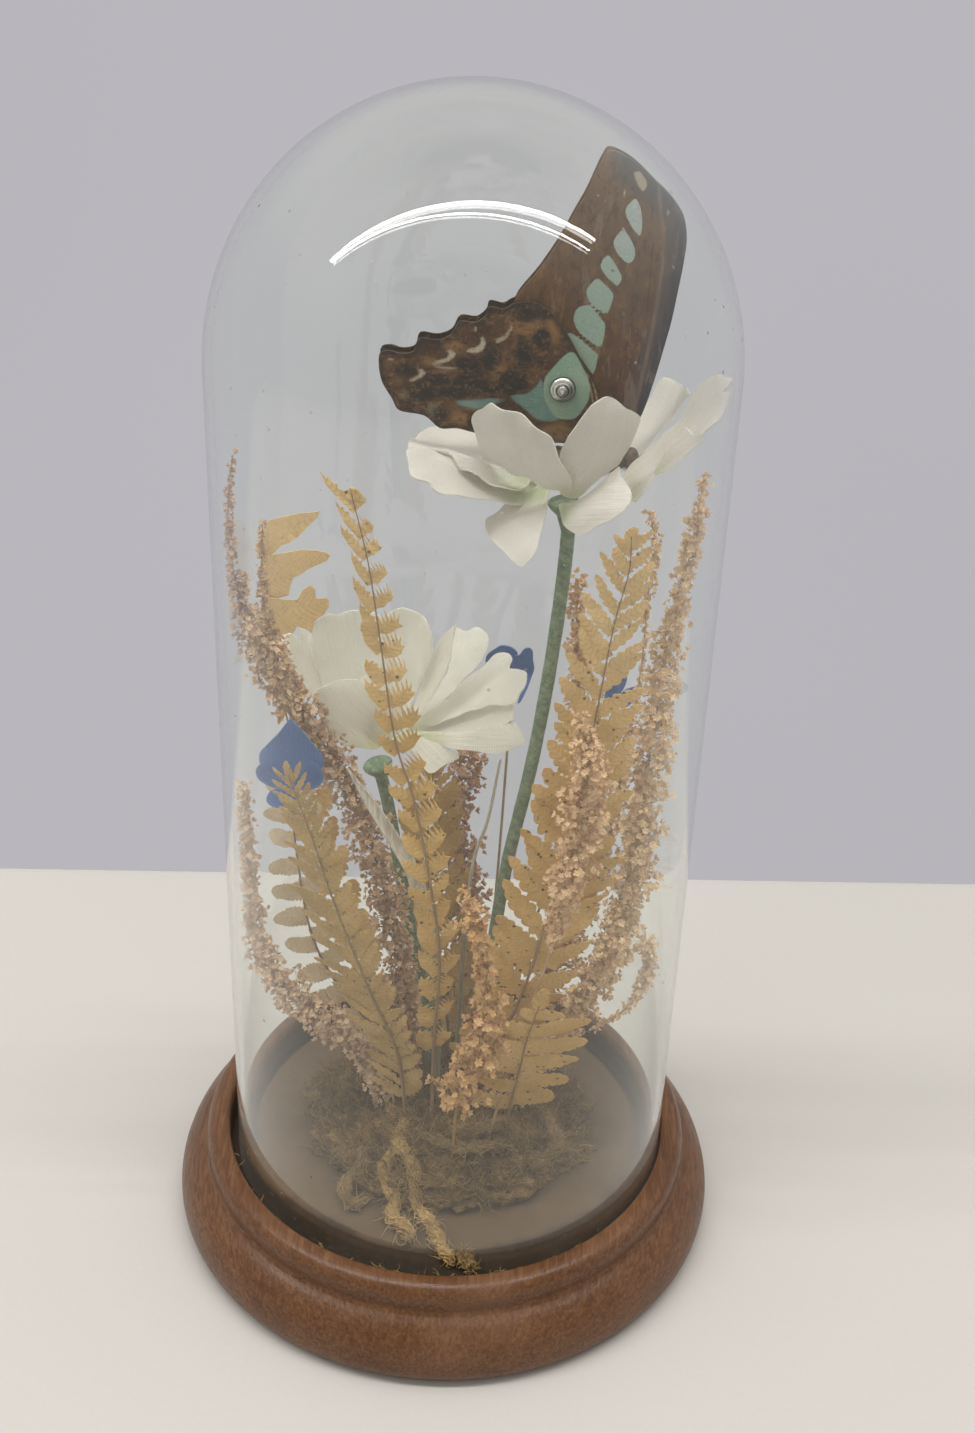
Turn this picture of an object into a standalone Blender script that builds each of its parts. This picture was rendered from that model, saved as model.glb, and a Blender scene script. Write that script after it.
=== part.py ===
"""A butterfly, two white cloth flowers and dried ferns and plumes on a mound of moss, under a glass dome
that stands in the groove of a turned wooden base. Lengths are written in millimetres and built in metres.
+X is to the right of the front, +Y to the back and +Z up; the middle of the base's underside is the origin."""

import math
import random

import bmesh
import bpy
from mathutils import Vector, noise
from mathutils.bvhtree import BVHTree

METRES = 0.001

# Driving dimensions of the case
DOME_RADIUS = 42.0
GLASS_WALL = 1.4
DOME_SHOULDER = 173.0
CAP_STRETCH = 1.018
DOME_SHIFT = 0.7
BASE_HEIGHT = 18.4
FOOT_RADIUS = 53.1
RING_RADIUS = 47.5
GROOVE_OUTER = 43.0
GROOVE_INNER = 39.6
GROOVE_FLOOR = 11.0
INNER_FLOOR = 13.0
TURNED_STEPS = 36
CAP_RINGS = 6

# Driving dimensions of what stands in it
GAP = 0.3
MOSS_CENTRE = (0.0, 1.0)
MOSS_HALF_SIZE = (28.0, 23.0, 10.0)
MOSS_LUMPS = 0.1
WING_THICKNESS = 0.35
WING_SPACING = 0.66
WING_LEAN = 1.6
WING_FOOT = 160.9
PIN_RADIUS = 2.1
PETAL_THICKNESS = 0.4

# Colour, roughness and metallic value of each finish
FINISHES = {
    "wood": ((0.16, 0.07, 0.035), 0.42, 0.0),
    "glass": ((0.85, 0.9, 0.88), 0.03, 0.0),
    "moss": ((0.09, 0.075, 0.045), 0.95, 0.0),
    "golden_moss": ((0.36, 0.24, 0.09), 0.95, 0.0),
    "body": ((0.06, 0.045, 0.035), 0.8, 0.0),
    "wing": ((0.11, 0.06, 0.035), 0.6, 0.0),
    "pin": ((0.72, 0.72, 0.7), 0.12, 1.0),
    "white_cloth": ((0.82, 0.83, 0.74), 0.8, 0.0),
    "blue_cloth": ((0.09, 0.17, 0.45), 0.8, 0.0),
    "green_tape": ((0.09, 0.19, 0.11), 0.7, 0.0),
    "fern": ((0.55, 0.36, 0.12), 0.85, 0.0),
    "plume": ((0.45, 0.28, 0.19), 0.9, 0.0),
    "pale_blade": ((0.68, 0.62, 0.54), 0.75, 0.0),
}

for old in list(bpy.data.objects):
    bpy.data.objects.remove(old, do_unlink=True)
ornament = bpy.data.collections.new("butterfly_dome")
bpy.context.scene.collection.children.link(ornament)


def point(x, y, z):
    return Vector((x, y, z)) * METRES


def material(name):
    found = bpy.data.materials.get(name)
    if found:
        return found
    colour, roughness, metallic = FINISHES[name]
    made = bpy.data.materials.new(name)
    made.use_nodes = True
    shader = made.node_tree.nodes["Principled BSDF"]
    shader.inputs["Base Color"].default_value = (*colour, 1.0)
    shader.inputs["Roughness"].default_value = roughness
    shader.inputs["Metallic"].default_value = metallic
    if name == "glass":
        shader.inputs["Transmission Weight"].default_value = 1.0
        shader.inputs["IOR"].default_value = 1.5
    made.diffuse_color = (*colour, 1.0)
    return made


def add_object(name, data, finish):
    made = bpy.data.objects.new(name, data)
    data.materials.append(material(finish))
    ornament.objects.link(made)
    return made


def add_mesh(name, bm, finish):
    """A closed bmesh as an object, with its normals facing out."""
    bmesh.ops.recalc_face_normals(bm, faces=bm.faces)
    mesh = bpy.data.meshes.new(name)
    bm.to_mesh(mesh)
    bm.free()
    return add_object(name, mesh, finish)


def smooth_path(points, count):
    """count points evenly spaced on the Catmull-Rom curve through the given ones."""
    knots = [Vector(p) for p in points]
    ends = [2 * knots[0] - knots[1]] + knots + [2 * knots[-1] - knots[-2]]
    fine = []
    for a, b, c, d in zip(ends, ends[1:], ends[2:], ends[3:]):
        for step in range(12):
            t = step / 12
            fine.append(0.5 * (2 * b + (c - a) * t + (2 * a - 5 * b + 4 * c - d) * t * t
                               + (3 * b - a - 3 * c + d) * t ** 3))
    fine.append(knots[-1])
    lengths = [0.0]
    for before, after in zip(fine, fine[1:]):
        lengths.append(lengths[-1] + (after - before).length)
    path = []
    at = 0
    for i in range(count):
        wanted = lengths[-1] * i / (count - 1)
        while at < len(fine) - 2 and lengths[at + 1] < wanted:
            at += 1
        share = (wanted - lengths[at]) / (lengths[at + 1] - lengths[at])
        path.append(fine[at].lerp(fine[at + 1], min(share, 1.0)))
    return path


# The case

def turned(name, profile, steps, finish):
    """A profile of (radius, height) points, from the top of the axis round the outside, turned about Z."""
    bm = bmesh.new()
    verts = [bm.verts.new(point(radius, 0, height)) for radius, height in profile]
    for a, b in zip(verts, verts[1:]):
        bm.edges.new((a, b))
    mesh = bpy.data.meshes.new(name)
    bm.to_mesh(mesh)
    bm.free()
    made = add_object(name, mesh, finish)
    screw = made.modifiers.new("turn", "SCREW")
    screw.axis = "Z"
    screw.steps = screw.render_steps = steps
    screw.use_merge_vertices = True
    screw.merge_threshold = 0.00001
    return made


def make_base():
    profile = [
        (0, INNER_FLOOR), (GROOVE_INNER, INNER_FLOOR), (GROOVE_INNER, GROOVE_FLOOR),
        (GROOVE_OUTER, GROOVE_FLOOR), (GROOVE_OUTER, BASE_HEIGHT), (RING_RADIUS - 1.8, BASE_HEIGHT - 0.1),
        (RING_RADIUS - 0.7, BASE_HEIGHT - 0.8), (RING_RADIUS, BASE_HEIGHT - 2.4),
        (RING_RADIUS, BASE_HEIGHT - 5.2), (RING_RADIUS + 0.7, BASE_HEIGHT - 5.8),
        (FOOT_RADIUS - 2.9, BASE_HEIGHT - 6.5), (FOOT_RADIUS - 1.5, BASE_HEIGHT - 7.9),
        (FOOT_RADIUS - 0.3, BASE_HEIGHT - 10.6), (FOOT_RADIUS, 4.0), (FOOT_RADIUS - 0.5, 1.6),
        (FOOT_RADIUS - 1.7, 0), (0, 0),
    ]
    turned("wooden_base", profile, TURNED_STEPS, "wood")


def cap(radius, rings):
    """The dome's rounded top for one of its two faces, from the axis down to the shoulder."""
    turns = [math.pi / 2 * i / rings for i in range(rings + 1)]
    return [(radius * math.sin(a), DOME_SHOULDER + radius * CAP_STRETCH * math.cos(a)) for a in turns]


def make_dome():
    foot = GROOVE_FLOOR + GAP
    inner = DOME_RADIUS - GLASS_WALL
    outside = cap(DOME_RADIUS, CAP_RINGS) + [(DOME_RADIUS, foot)]
    inside = [(inner, foot)] + cap(inner, CAP_RINGS)[::-1]
    made = turned("glass_dome", outside + inside, TURNED_STEPS, "glass")
    made.location = point(DOME_SHIFT, 0, 0)


# The moss

def make_moss():
    """A lumpy heap, flat below, and the tree of its faces that the stems are stood on."""
    bm = bmesh.new()
    bmesh.ops.create_uvsphere(bm, u_segments=18, v_segments=12, radius=1.0)
    for vert in bm.verts:
        lump = 1 + MOSS_LUMPS * noise.noise(vert.co * 2.6)
        half = Vector(MOSS_HALF_SIZE) * lump
        vert.co = point(MOSS_CENTRE[0] + vert.co.x * half.x, MOSS_CENTRE[1] + vert.co.y * half.y,
                        INNER_FLOOR + GAP + vert.co.z * half.z)
    cut = point(0, 0, INNER_FLOOR + GAP)
    bmesh.ops.bisect_plane(bm, geom=bm.verts[:] + bm.edges[:] + bm.faces[:], dist=0.00001,
                           plane_co=cut, plane_no=(0, 0, -1), clear_outer=True)
    bmesh.ops.holes_fill(bm, edges=[edge for edge in bm.edges if edge.is_boundary])
    bmesh.ops.recalc_face_normals(bm, faces=bm.faces)
    tree = BVHTree.FromBMesh(bm)
    add_mesh("moss_mound", bm, "moss")
    return tree


def on_moss(x, y, above=GAP):
    """The place over (x, y) that is just clear of the moss, in millimetres."""
    place = moss.ray_cast(point(x, y, 100), Vector((0, 0, -1)))[0]
    height = place.z / METRES if place else INNER_FLOOR
    return (x, y, height + above)


# Stems, blades and plumes

def tube(name, path, radii, finish, sides=8):
    """A tube along a path in millimetres, with one radius for each of its points."""
    curve = bpy.data.curves.new(name, "CURVE")
    curve.dimensions = "3D"
    curve.bevel_depth = METRES
    curve.bevel_resolution = (sides - 4) // 2
    curve.use_fill_caps = True
    spline = curve.splines.new("POLY")
    spline.points.add(len(path) - 1)
    for spot, place, radius in zip(spline.points, path, radii):
        spot.co = (*point(*place), 1.0)
        spot.radius = radius
    return add_object(name, curve, finish)


def flower_stem(name, points, foot, radius, calyx):
    """A taped wire stem that widens into the calyx at its upper end; points run from the calyx down."""
    path = smooth_path([on_moss(*foot, above=GAP + radius * 0.6)] + points[::-1], 10)
    crown = path[-1]
    down = (path[-2] - crown).normalized()
    top = [crown + down * depth for depth in (3.4, 2.2, 0.9, 0.0)]
    radii = [radius] * 9 + [radius, calyx * 0.8, calyx, calyx * 0.5]
    tube(name, path[:-1] + top, radii, "green_tape", sides=6)


def plume(name, points, thick, seed, lumps=13, bare=0.12):
    """A spike of small dried flowers: a tube whose radius swells and pinches from its foot to its tip."""
    draw = random.Random(seed)
    path = smooth_path(points, lumps)
    radii = []
    for i in range(lumps):
        along = i / (lumps - 1)
        body = thick * min(1.0, 0.35 + along / 0.4) * (1 - 0.72 * along ** 2)
        swell = 1.18 if i % 2 else 0.72
        radii.append(0.5 if along < bare else max(0.45, body * swell * draw.uniform(0.88, 1.12)))
    tube(name, path, radii, "plume", sides=6)


def blade(name, points, half_width, facing, finish, thickness=0.4):
    """A flat tapering blade that follows a path."""
    path = smooth_path(points, 8)
    bm = bmesh.new()
    rings = []
    for i, place in enumerate(path):
        along = (path[min(i + 1, 7)] - path[max(i - 1, 0)]).normalized()
        across = along.cross(Vector(facing)).normalized()
        normal = across.cross(along)
        wide = half_width * (0.35 + 0.65 * math.sin(math.pi * (0.15 + 0.8 * i / 7)))
        corners = [(-1, -1), (1, -1), (1, 1), (-1, 1)]
        rings.append([bm.verts.new(point(*(place + across * wide * a + normal * thickness / 2 * b)))
                      for a, b in corners])
    close_loft(bm, rings)
    add_mesh(name, bm, finish)


def close_loft(bm, rings):
    """Side faces between rings of four corners, and the two ends. It gives the side faces by ring."""
    bm.faces.new(rings[0])
    sides = []
    for lower, upper in zip(rings, rings[1:]):
        sides.append([bm.faces.new((lower[k], lower[(k + 1) % 4], upper[(k + 1) % 4], upper[k]))
                      for k in range(4)])
    bm.faces.new(rings[-1])
    return sides


# Ferns

def frond(name, points, facing, pairs, reach, slant=0.45, bare=0.2, stages=1, gaps=False, droop=0.0, skew=(1, 1)):
    """A fern frond: a flat midrib with a leaflet drawn out of each side face. reach gives the leaflets'
    length, in millimetres, at the lowest pair, at the widest and at the tip."""
    per_pair = 2 if gaps else 1
    stations = pairs * per_pair + 1
    whole = smooth_path(points, 60)
    first = int(bare * 59)
    leafy = [whole[first + round((59 - first) * i / (stations - 1))] for i in range(stations)]
    path = [whole[0], whole[first // 2]] + leafy
    bm = bmesh.new()
    rings = []
    frames = []
    for i, place in enumerate(path):
        along = (path[min(i + 1, len(path) - 1)] - path[max(i - 1, 0)]).normalized()
        across = along.cross(Vector(facing)).normalized()
        normal = across.cross(along)
        rib = 0.55 - 0.3 * i / len(path)
        frames.append((along, across, normal))
        rings.append([bm.verts.new(point(*(place + across * rib * a + normal * rib * 0.7 * b)))
                      for a, b in ((-1, -1), (1, -1), (1, 1), (-1, 1))])
    sides = close_loft(bm, rings)
    bm.normal_update()
    for pair in range(pairs):
        ring = 2 + pair * per_pair
        share = pair / max(pairs - 1, 1)
        if share < 0.35:
            length = reach[0] + (reach[1] - reach[0]) * share / 0.35
        else:
            length = reach[1] + (reach[2] - reach[1]) * (share - 0.35) / 0.65
        along, across, normal = frames[ring]
        for face, side, much in ((sides[ring][1], 1, skew[0]), (sides[ring][3], -1, skew[1])):
            leaflet(bm, face, across * side, along, normal, length * much, slant, stages, droop)
    add_mesh(name, bm, "fern")


def leaflet(bm, face, out, along, normal, length, slant, stages, droop):
    """One leaflet, drawn out of a side face of the midrib in one or two steps and narrowed at its tip."""
    way = (out + along * slant + normal * droop).normalized()
    steps = ((0.55, 1.05), (0.45, 0.3)) if stages == 2 else ((1.0, 0.3),)
    for share, width in steps:
        face = bmesh.ops.extrude_discrete_faces(bm, faces=[face])["faces"][0]
        bmesh.ops.translate(bm, verts=face.verts, vec=way * length * share * METRES)
        middle = face.calc_center_median()
        for vert in face.verts:
            offset = vert.co - middle
            lengthwise = along * offset.dot(along)
            vert.co = middle + lengthwise * width + normal * offset.dot(normal) * 0.8


# Flowers

def petal(name, base, tip, facing, half_width, bow, cup, rows=4, foot_width=0.2):
    """A cupped petal between two points. facing is the way its inner face looks, bow how far its middle
    stands that way from the straight line, and cup how far its edges do."""
    base, tip = Vector(base), Vector(tip)
    along = tip - base
    across = along.cross(Vector(facing)).normalized()
    normal = across.cross(along).normalized()
    bm = bmesh.new()
    bmesh.ops.create_grid(bm, x_segments=4, y_segments=rows, size=1.0)
    for vert in bm.verts:
        u = vert.co.x
        v = (vert.co.y + 1) / 2
        widest = foot_width + (1 - foot_width) * math.sin(math.pi * min(v * 0.92 + 0.02, 1) ** 1.25) ** 0.75
        wide = half_width * (widest if v < 0.99 else 0.42)
        tip_round = 1 - 0.07 * u * u * v
        place = base + along * v * tip_round + normal * 4 * bow * v * (1 - v)
        place += across * u * wide + normal * cup * u * u * math.sin(math.pi * v * 0.85)
        vert.co = point(*place)
    made = add_mesh(name, bm, "white_cloth")
    shell = made.modifiers.new("cloth thickness", "SOLIDIFY")
    shell.thickness = PETAL_THICKNESS * METRES
    shell.offset = 0.0


def make_upper_flower():
    flower_stem("upper_flower_stem", UPPER_STEM, (4.2, 3.2), 1.5, 3.0)
    for number, values in enumerate(UPPER_PETALS, 1):
        petal(f"upper_petal_{number}", *values)


def make_lower_flower():
    flower_stem("lower_flower_stem", LOWER_STEM, (-2.6, 7.0), 1.2, 2.8)
    for number, values in enumerate(LOWER_PETALS, 1):
        petal(f"lower_petal_{number}", *values, rows=3)


UPPER_STEM = [(16.0, 0.0, 150.6), (17.1, 0.0, 145.1), (15.8, 0.0, 123.6), (13.4, 0.2, 101.4), (9.7, 1.0, 77.4),
              (7.4, 2.0, 54.0)]
# base, tip, the way the inner face looks, half width, bow, cup
UPPER_PETALS = [
    ((14.0, -1.9, 152.6), (4.6, -9.8, 170.8), (0.5, 0.8, 0.4), 7.2, -3.2, 1.6),
    ((17.4, -2.1, 152.6), (21.9, -9.0, 171.8), (-0.4, 0.9, 0.4), 6.5, -3.0, 1.6),
    ((14.8, -4.2, 151.0), (9.0, -14.5, 145.4), (-0.5, -0.6, 0.7), 6.6, 3.6, -1.0),
    ((17.8, -4.6, 150.4), (25.4, -14.6, 155.0), (0.3, -0.9, 0.4), 5.2, 0.6, -0.6),
    ((12.9, 3.6, 154.4), (-10.0, 9.0, 159.0), (0.15, -0.15, 1.0), 6.0, 0.6, 1.2),
    ((11.4, -2.2, 152.4), (-8.4, -8.2, 157.4), (0.1, -0.3, 1.0), 6.0, 0.1, 0.8),
    ((18.6, 4.4, 152.4), (33.2, 17.2, 167.2), (-0.5, -0.2, 0.8), 7.2, -2.6, 1.8),
    ((21.8, -4.0, 151.8), (38.0, -9.8, 174.4), (-0.5, -0.5, 0.7), 4.2, -2.4, 1.0),
    ((20.8, -6.4, 150.2), (31.6, -15.6, 158.6), (-0.2, 0.0, 1.0), 3.0, -1.0, 0.8),
]
LOWER_STEM = [(-14.8, 8.0, 94.6), (-13.3, 8.0, 88.6), (-11.6, 8.0, 79.0), (-9.0, 8.0, 62.0), (-5.4, 7.6, 42.0)]
LOWER_PETALS = [
    ((-17.2, 8.0, 96.8), (-31.6, 7.4, 118.6), (0.8, -0.1, 0.5), 4.5, -3.2, 1.2),
    ((-16.2, 10.6, 97.2), (-23.0, 16.6, 122.4), (0.3, -0.9, 0.3), 5.8, -2.4, 1.2),
    ((-14.8, 9.6, 98.2), (-10.6, 13.0, 123.2), (-0.2, -0.9, 0.3), 4.8, -1.6, 1.2),
    ((-13.0, 8.0, 98.4), (-0.4, 7.4, 119.0), (-0.7, -0.4, 0.5), 3.3, -1.6, 0.8),
    ((-12.4, 9.6, 97.6), (10.6, 13.8, 116.6), (-0.5, -0.3, 0.8), 4.3, -1.2, 0.8),
    ((-12.2, 6.6, 96.2), (11.4, 2.6, 110.8), (-0.2, -0.3, 1.0), 4.6, -0.9, -0.8),
    ((-13.4, 5.0, 94.8), (8.0, -6.4, 102.6), (0.0, -0.4, 1.0), 4.6, -1.2, -0.8),
    ((-16.4, 5.6, 96.2), (-23.4, -3.4, 112.0), (0.6, 0.6, 0.5), 4.2, -2.4, 1.4),
    ((-15.0, 5.6, 97.0), (-14.6, -1.6, 114.6), (0.1, 0.9, 0.4), 4.6, -2.4, 1.4),
    ((-14.8, 5.0, 93.8), (-6.4, -6.6, 92.8), (0.2, 0.3, 1.0), 4.2, 0.8, -0.8),
    ((-17.0, 10.0, 96.0), (-25.6, 21.6, 111.0), (0.6, -0.4, 0.7), 4.8, -1.8, 1.0),
    ((-14.0, 11.2, 96.2), (-4.6, 26.0, 109.6), (-0.3, -0.6, 0.8), 5.6, -1.8, 1.0),
]


def floret(name, heart, facing, lobes, half_width, foot):
    """A small stamped cloth flower: a disc whose side faces are drawn out into lobes, on a thin wire."""
    facing = Vector(facing).normalized()
    turn = facing.to_track_quat("Z", "Y").to_matrix()
    bm = bmesh.new()
    bmesh.ops.create_cone(bm, cap_ends=True, segments=len(lobes) * 2, radius1=1.5, radius2=1.5, depth=0.5)
    rim = [face for face in bm.faces if abs(face.normal.z) < 0.5]
    rim.sort(key=lambda face: math.atan2(face.calc_center_median().y, face.calc_center_median().x))
    for face, (length, lift) in zip(rim[::2], lobes):
        out = face.normal.copy()
        side = out.cross(Vector((0, 0, 1)))
        for share, width in ((0.6, half_width), (0.4, half_width * 0.3)):
            face = bmesh.ops.extrude_discrete_faces(bm, faces=[face])["faces"][0]
            step = out * length * share + Vector((0, 0, lift * share))
            bmesh.ops.translate(bm, verts=face.verts, vec=step)
            middle = face.calc_center_median()
            for vert in face.verts:
                across = (vert.co - middle).dot(side)
                vert.co += side * (math.copysign(width, across) - across)
    under = min(bm.faces, key=lambda face: face.calc_center_median().z)
    bmesh.ops.transform(bm, matrix=turn.to_4x4(), verts=bm.verts)
    bmesh.ops.translate(bm, verts=bm.verts, vec=Vector(heart))
    wire = smooth_path([Vector(heart) - facing * 0.25, Vector(heart) - facing * 3, *foot], 5)
    for place in wire[1:]:
        under = bmesh.ops.extrude_discrete_faces(bm, faces=[under])["faces"][0]
        middle = under.calc_center_median()
        for vert in under.verts:
            vert.co = place + (vert.co - middle).normalized() * 0.45
    bmesh.ops.scale(bm, verts=bm.verts, vec=(METRES,) * 3)
    add_mesh(name, bm, "blue_cloth")


def make_blue_flowers():
    camera_side = (0.0, -0.85, 0.5)
    left = [(5.6, 0.4), (7.8, -0.4), (5.4, 0.4), (6.0, 0.3), (5.0, 0.6)]
    floret("blue_flower_left", (-28.9, -11.2, 102.4), camera_side, left, 3.1,
           [(-24.6, -8.8, 92.0), (-18.4, -7.2, 68.0), (-12.4, -5.6, 45.0), on_moss(-10.0, -4.8, 0.9)])
    back = [(5.0, 2.0), (5.6, 1.4), (4.8, 2.2), (5.2, 1.8), (4.6, 2.4)]
    floret("blue_flower_back", (9.9, 20.5, 108.6), (-0.2, -0.5, 0.9), back, 1.1,
           [(9.4, 19.6, 98.0), (8.6, 17.6, 72.0), (7.6, 13.6, 46.0), on_moss(7.0, 10.4, 0.9)])
    floret("blue_flower_right", (26.2, 18.6, 104.4), (0.2, -0.5, 0.9), back, 1.5,
           [(25.0, 17.8, 94.0), (20.4, 15.6, 70.0), (13.0, 11.6, 46.0), on_moss(9.8, 9.4, 0.9)])


# The butterfly

FOREWING = [
    (6.7, 183.9), (10.3, 189.0), (13.1, 193.5), (15.0, 197.4), (16.7, 200.8), (18.6, 205.6), (19.8, 206.8),
    (23.2, 205.3), (26.8, 202.3), (29.5, 200.0), (31.1, 197.8), (31.9, 194.5), (31.8, 190.5), (31.4, 186.3),
    (30.9, 181.8), (30.1, 177.3), (29.0, 171.8), (27.6, 166.4), (25.9, 162.8), (23.8, 161.1), (21.4, 160.9),
    (18.6, 163.0), (13.0, 172.5), (8.4, 180.4),
]
HINDWING = [
    (9.8, 184.0), (12.3, 182.5), (14.4, 180.0), (16.3, 177.1), (19.0, 172.3), (21.0, 168.3), (21.3, 164.8),
    (20.4, 162.4), (17.6, 161.4), (14.0, 161.2), (9.4, 161.3), (5.3, 161.8), (1.3, 162.5), (-1.6, 163.2),
    (-4.3, 163.1), (-6.8, 165.1), (-10.7, 165.8), (-11.9, 167.8), (-13.6, 171.0), (-13.9, 175.0),
    (-12.4, 175.8), (-10.5, 175.4), (-8.5, 175.9), (-7.7, 178.0), (-5.0, 177.8), (-2.8, 178.7), (-1.6, 180.8),
    (0.9, 180.7), (2.4, 181.9), (2.9, 183.2), (5.0, 182.9), (6.7, 183.8),
]


def wing(name, outline, offset, lean):
    """A flat wing standing over the body, leaning out by an angle from the line of its foot."""
    curve = bpy.data.curves.new(name, "CURVE")
    curve.dimensions = "2D"
    curve.fill_mode = "BOTH"
    curve.extrude = WING_THICKNESS / 2 * METRES
    spline = curve.splines.new("POLY")
    spline.points.add(len(outline) - 1)
    for spot, (x, z) in zip(spline.points, outline):
        spot.co = (*point(x, z - WING_FOOT, 0), 1.0)
    spline.use_cyclic_u = True
    made = add_object(name, curve, "wing")
    made.location = point(0, offset, WING_FOOT)
    made.rotation_euler = (math.radians(90 + lean), 0, 0)


def make_wings():
    for side, sign in (("near", -1), ("far", 1)):
        lean = -sign * WING_LEAN
        wing(f"{side}_forewing", FOREWING, sign * WING_SPACING / 2, lean)
        wing(f"{side}_hindwing", HINDWING, sign * WING_SPACING * 1.5, lean)


def make_pin():
    """A domed head with a raised middle, on the near hindwing."""
    profile = [(0, 1.5), (0.8, 1.34), (1.35, 0.8), (1.75, 0.62), (PIN_RADIUS, 0), (0, 0)]
    made = turned("wing_pin", profile, 14, "pin")
    height = 170.4 - WING_FOOT
    face = WING_SPACING * 1.5 + WING_THICKNESS / 2 + GAP
    lean = math.radians(WING_LEAN)
    made.location = point(14.7, -face * math.cos(lean) - height * math.sin(lean), 170.4)
    made.rotation_euler = (math.radians(90 + WING_LEAN), 0, 0)


# x, height and radius along the body, from the front of the head to the tip of the abdomen
BODY = [(27.8, 158.6, 0.7), (26.7, 158.6, 1.5), (25.2, 158.4, 1.1), (23.2, 158.4, 1.85), (20.6, 158.4, 1.95),
        (18.2, 158.2, 1.3), (15.0, 158.2, 1.5), (11.6, 158.4, 1.35), (8.8, 158.8, 0.95), (7.0, 159.2, 0.4)]
# where each leg leaves the body, its knee and its foot, for the near side
LEGS = [
    ((24.0, -1.0, 156.9), (24.6, -2.2, 157.0), (24.0, -2.3, 155.8)),
    ((21.6, -1.2, 156.9), (21.6, -2.2, 157.0), (20.8, -2.0, 155.6)),
    ((19.2, -1.0, 157.0), (16.2, -2.8, 158.4), (15.9, -3.4, 154.9)),
]


def make_body():
    bm = bmesh.new()
    sides = 8
    rings = []
    for x, height, radius in BODY:
        angles = [2 * math.pi * (k + 0.5) / sides for k in range(sides)]
        rings.append([bm.verts.new(point(x, radius * math.cos(a), height + radius * math.sin(a)))
                      for a in angles])
    bm.faces.new(rings[0])
    bm.faces.new(rings[-1])
    for front, back in zip(rings, rings[1:]):
        for k in range(sides):
            bm.faces.new((front[k], front[(k + 1) % sides], back[(k + 1) % sides], back[k]))
    for side in (1, -1):
        for leg in LEGS:
            start, knee, foot = [point(x, y * side, z) for x, y, z in leg]
            face = min(bm.faces, key=lambda f: (f.calc_center_median() - start).length)
            for place in (start + (knee - start) * 0.25, knee, foot):
                face = bmesh.ops.extrude_discrete_faces(bm, faces=[face])["faces"][0]
                middle = face.calc_center_median()
                for vert in face.verts:
                    vert.co = place + (vert.co - middle).normalized() * 0.32 * METRES
    add_mesh("butterfly_body", bm, "body")


# What stands round the flowers

def make_ferns():
    front = (0.1, -0.9, 0.3)
    frond("fern_front", [on_moss(-2.6, -7.2, 0.8), (-2.7, -8.0, 40.0), (-1.9, -9.4, 64.0), (-3.9, -11.4, 82.4),
                         (-6.7, -13.0, 100.0), (-10.1, -14.0, 113.0), (-12.6, -15.0, 132.2),
                         (-14.5, -16.0, 146.7), (-17.2, -16.0, 158.7)],
          front, 17, (4.0, 6.6, 1.2), slant=0.6, bare=0.33, skew=(1.0, 0.6))
    frond("fern_right", [on_moss(7.6, -4.6, 0.8), (8.8, -7.2, 38.0), (14.7, -9.6, 61.6), (19.8, -11.6, 90.1),
                         (22.8, -13.0, 117.7), (24.6, -14.0, 136.0), (26.2, -14.8, 146.0), (26.0, -15.8, 152.4)],
          front, 13, (8.4, 11.0, 2.6), slant=0.7, bare=0.2, skew=(0.8, 1.0))
    frond("fern_back", [on_moss(-8.4, 9.0, 0.8), (-16.0, 10.4, 42.0), (-26.4, 12.4, 72.0), (-32.8, 14.0, 103.0),
                        (-34.6, 14.6, 124.0), (-34.0, 15.0, 140.0)],
          (0.4, -0.9, 0.1), 7, (5.0, 10.0, 8.6), slant=0.35, bare=0.35, stages=2, gaps=True, skew=(1.0, 0.2))
    frond("fern_left", [on_moss(-11.6, 2.6, 0.8), (-15.0, 2.6, 36.0), (-22.4, 2.6, 48.0), (-27.0, 2.6, 60.0),
                        (-29.4, 2.8, 78.6), (-30.4, 3.0, 93.8), (-29.6, 3.2, 104.0)],
          (0.0, -1.0, 0.1), 8, (6.4, 7.6, 3.6), slant=0.1, bare=0.28, stages=2, gaps=True, skew=(0.7, 1.0))
    frond("fern_brown", [on_moss(-7.6, -7.4, 0.8), (-9.4, -9.0, 40.5), (-14.6, -12.2, 58.7), (-20.2, -15.4, 79.6),
                         (-24.0, -17.0, 95.6), (-27.4, -17.4, 107.4)],
          (-0.2, -0.9, 0.3), 11, (6.0, 8.6, 3.4), slant=0.7, bare=0.25, skew=(0.8, 0.9))
    frond("fern_low_right", [on_moss(11.4, -9.6, 0.8), (12.6, -12.0, 33.0), (13.6, -14.4, 42.0),
                             (14.6, -16.0, 51.0), (16.4, -17.0, 60.0)],
          front, 6, (13.0, 11.6, 4.0), slant=0.1, bare=0.25, stages=2, gaps=True, skew=(1.0, 0.45))
    frond("fern_middle", [on_moss(0.6, 10.6, 0.8), (-1.6, 11.6, 41.0), (-4.6, 12.6, 60.0), (-5.4, 13.2, 74.0),
                          (-4.6, 14.0, 90.0)],
          front, 9, (5.0, 9.0, 4.0), slant=0.6, bare=0.3)


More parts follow.
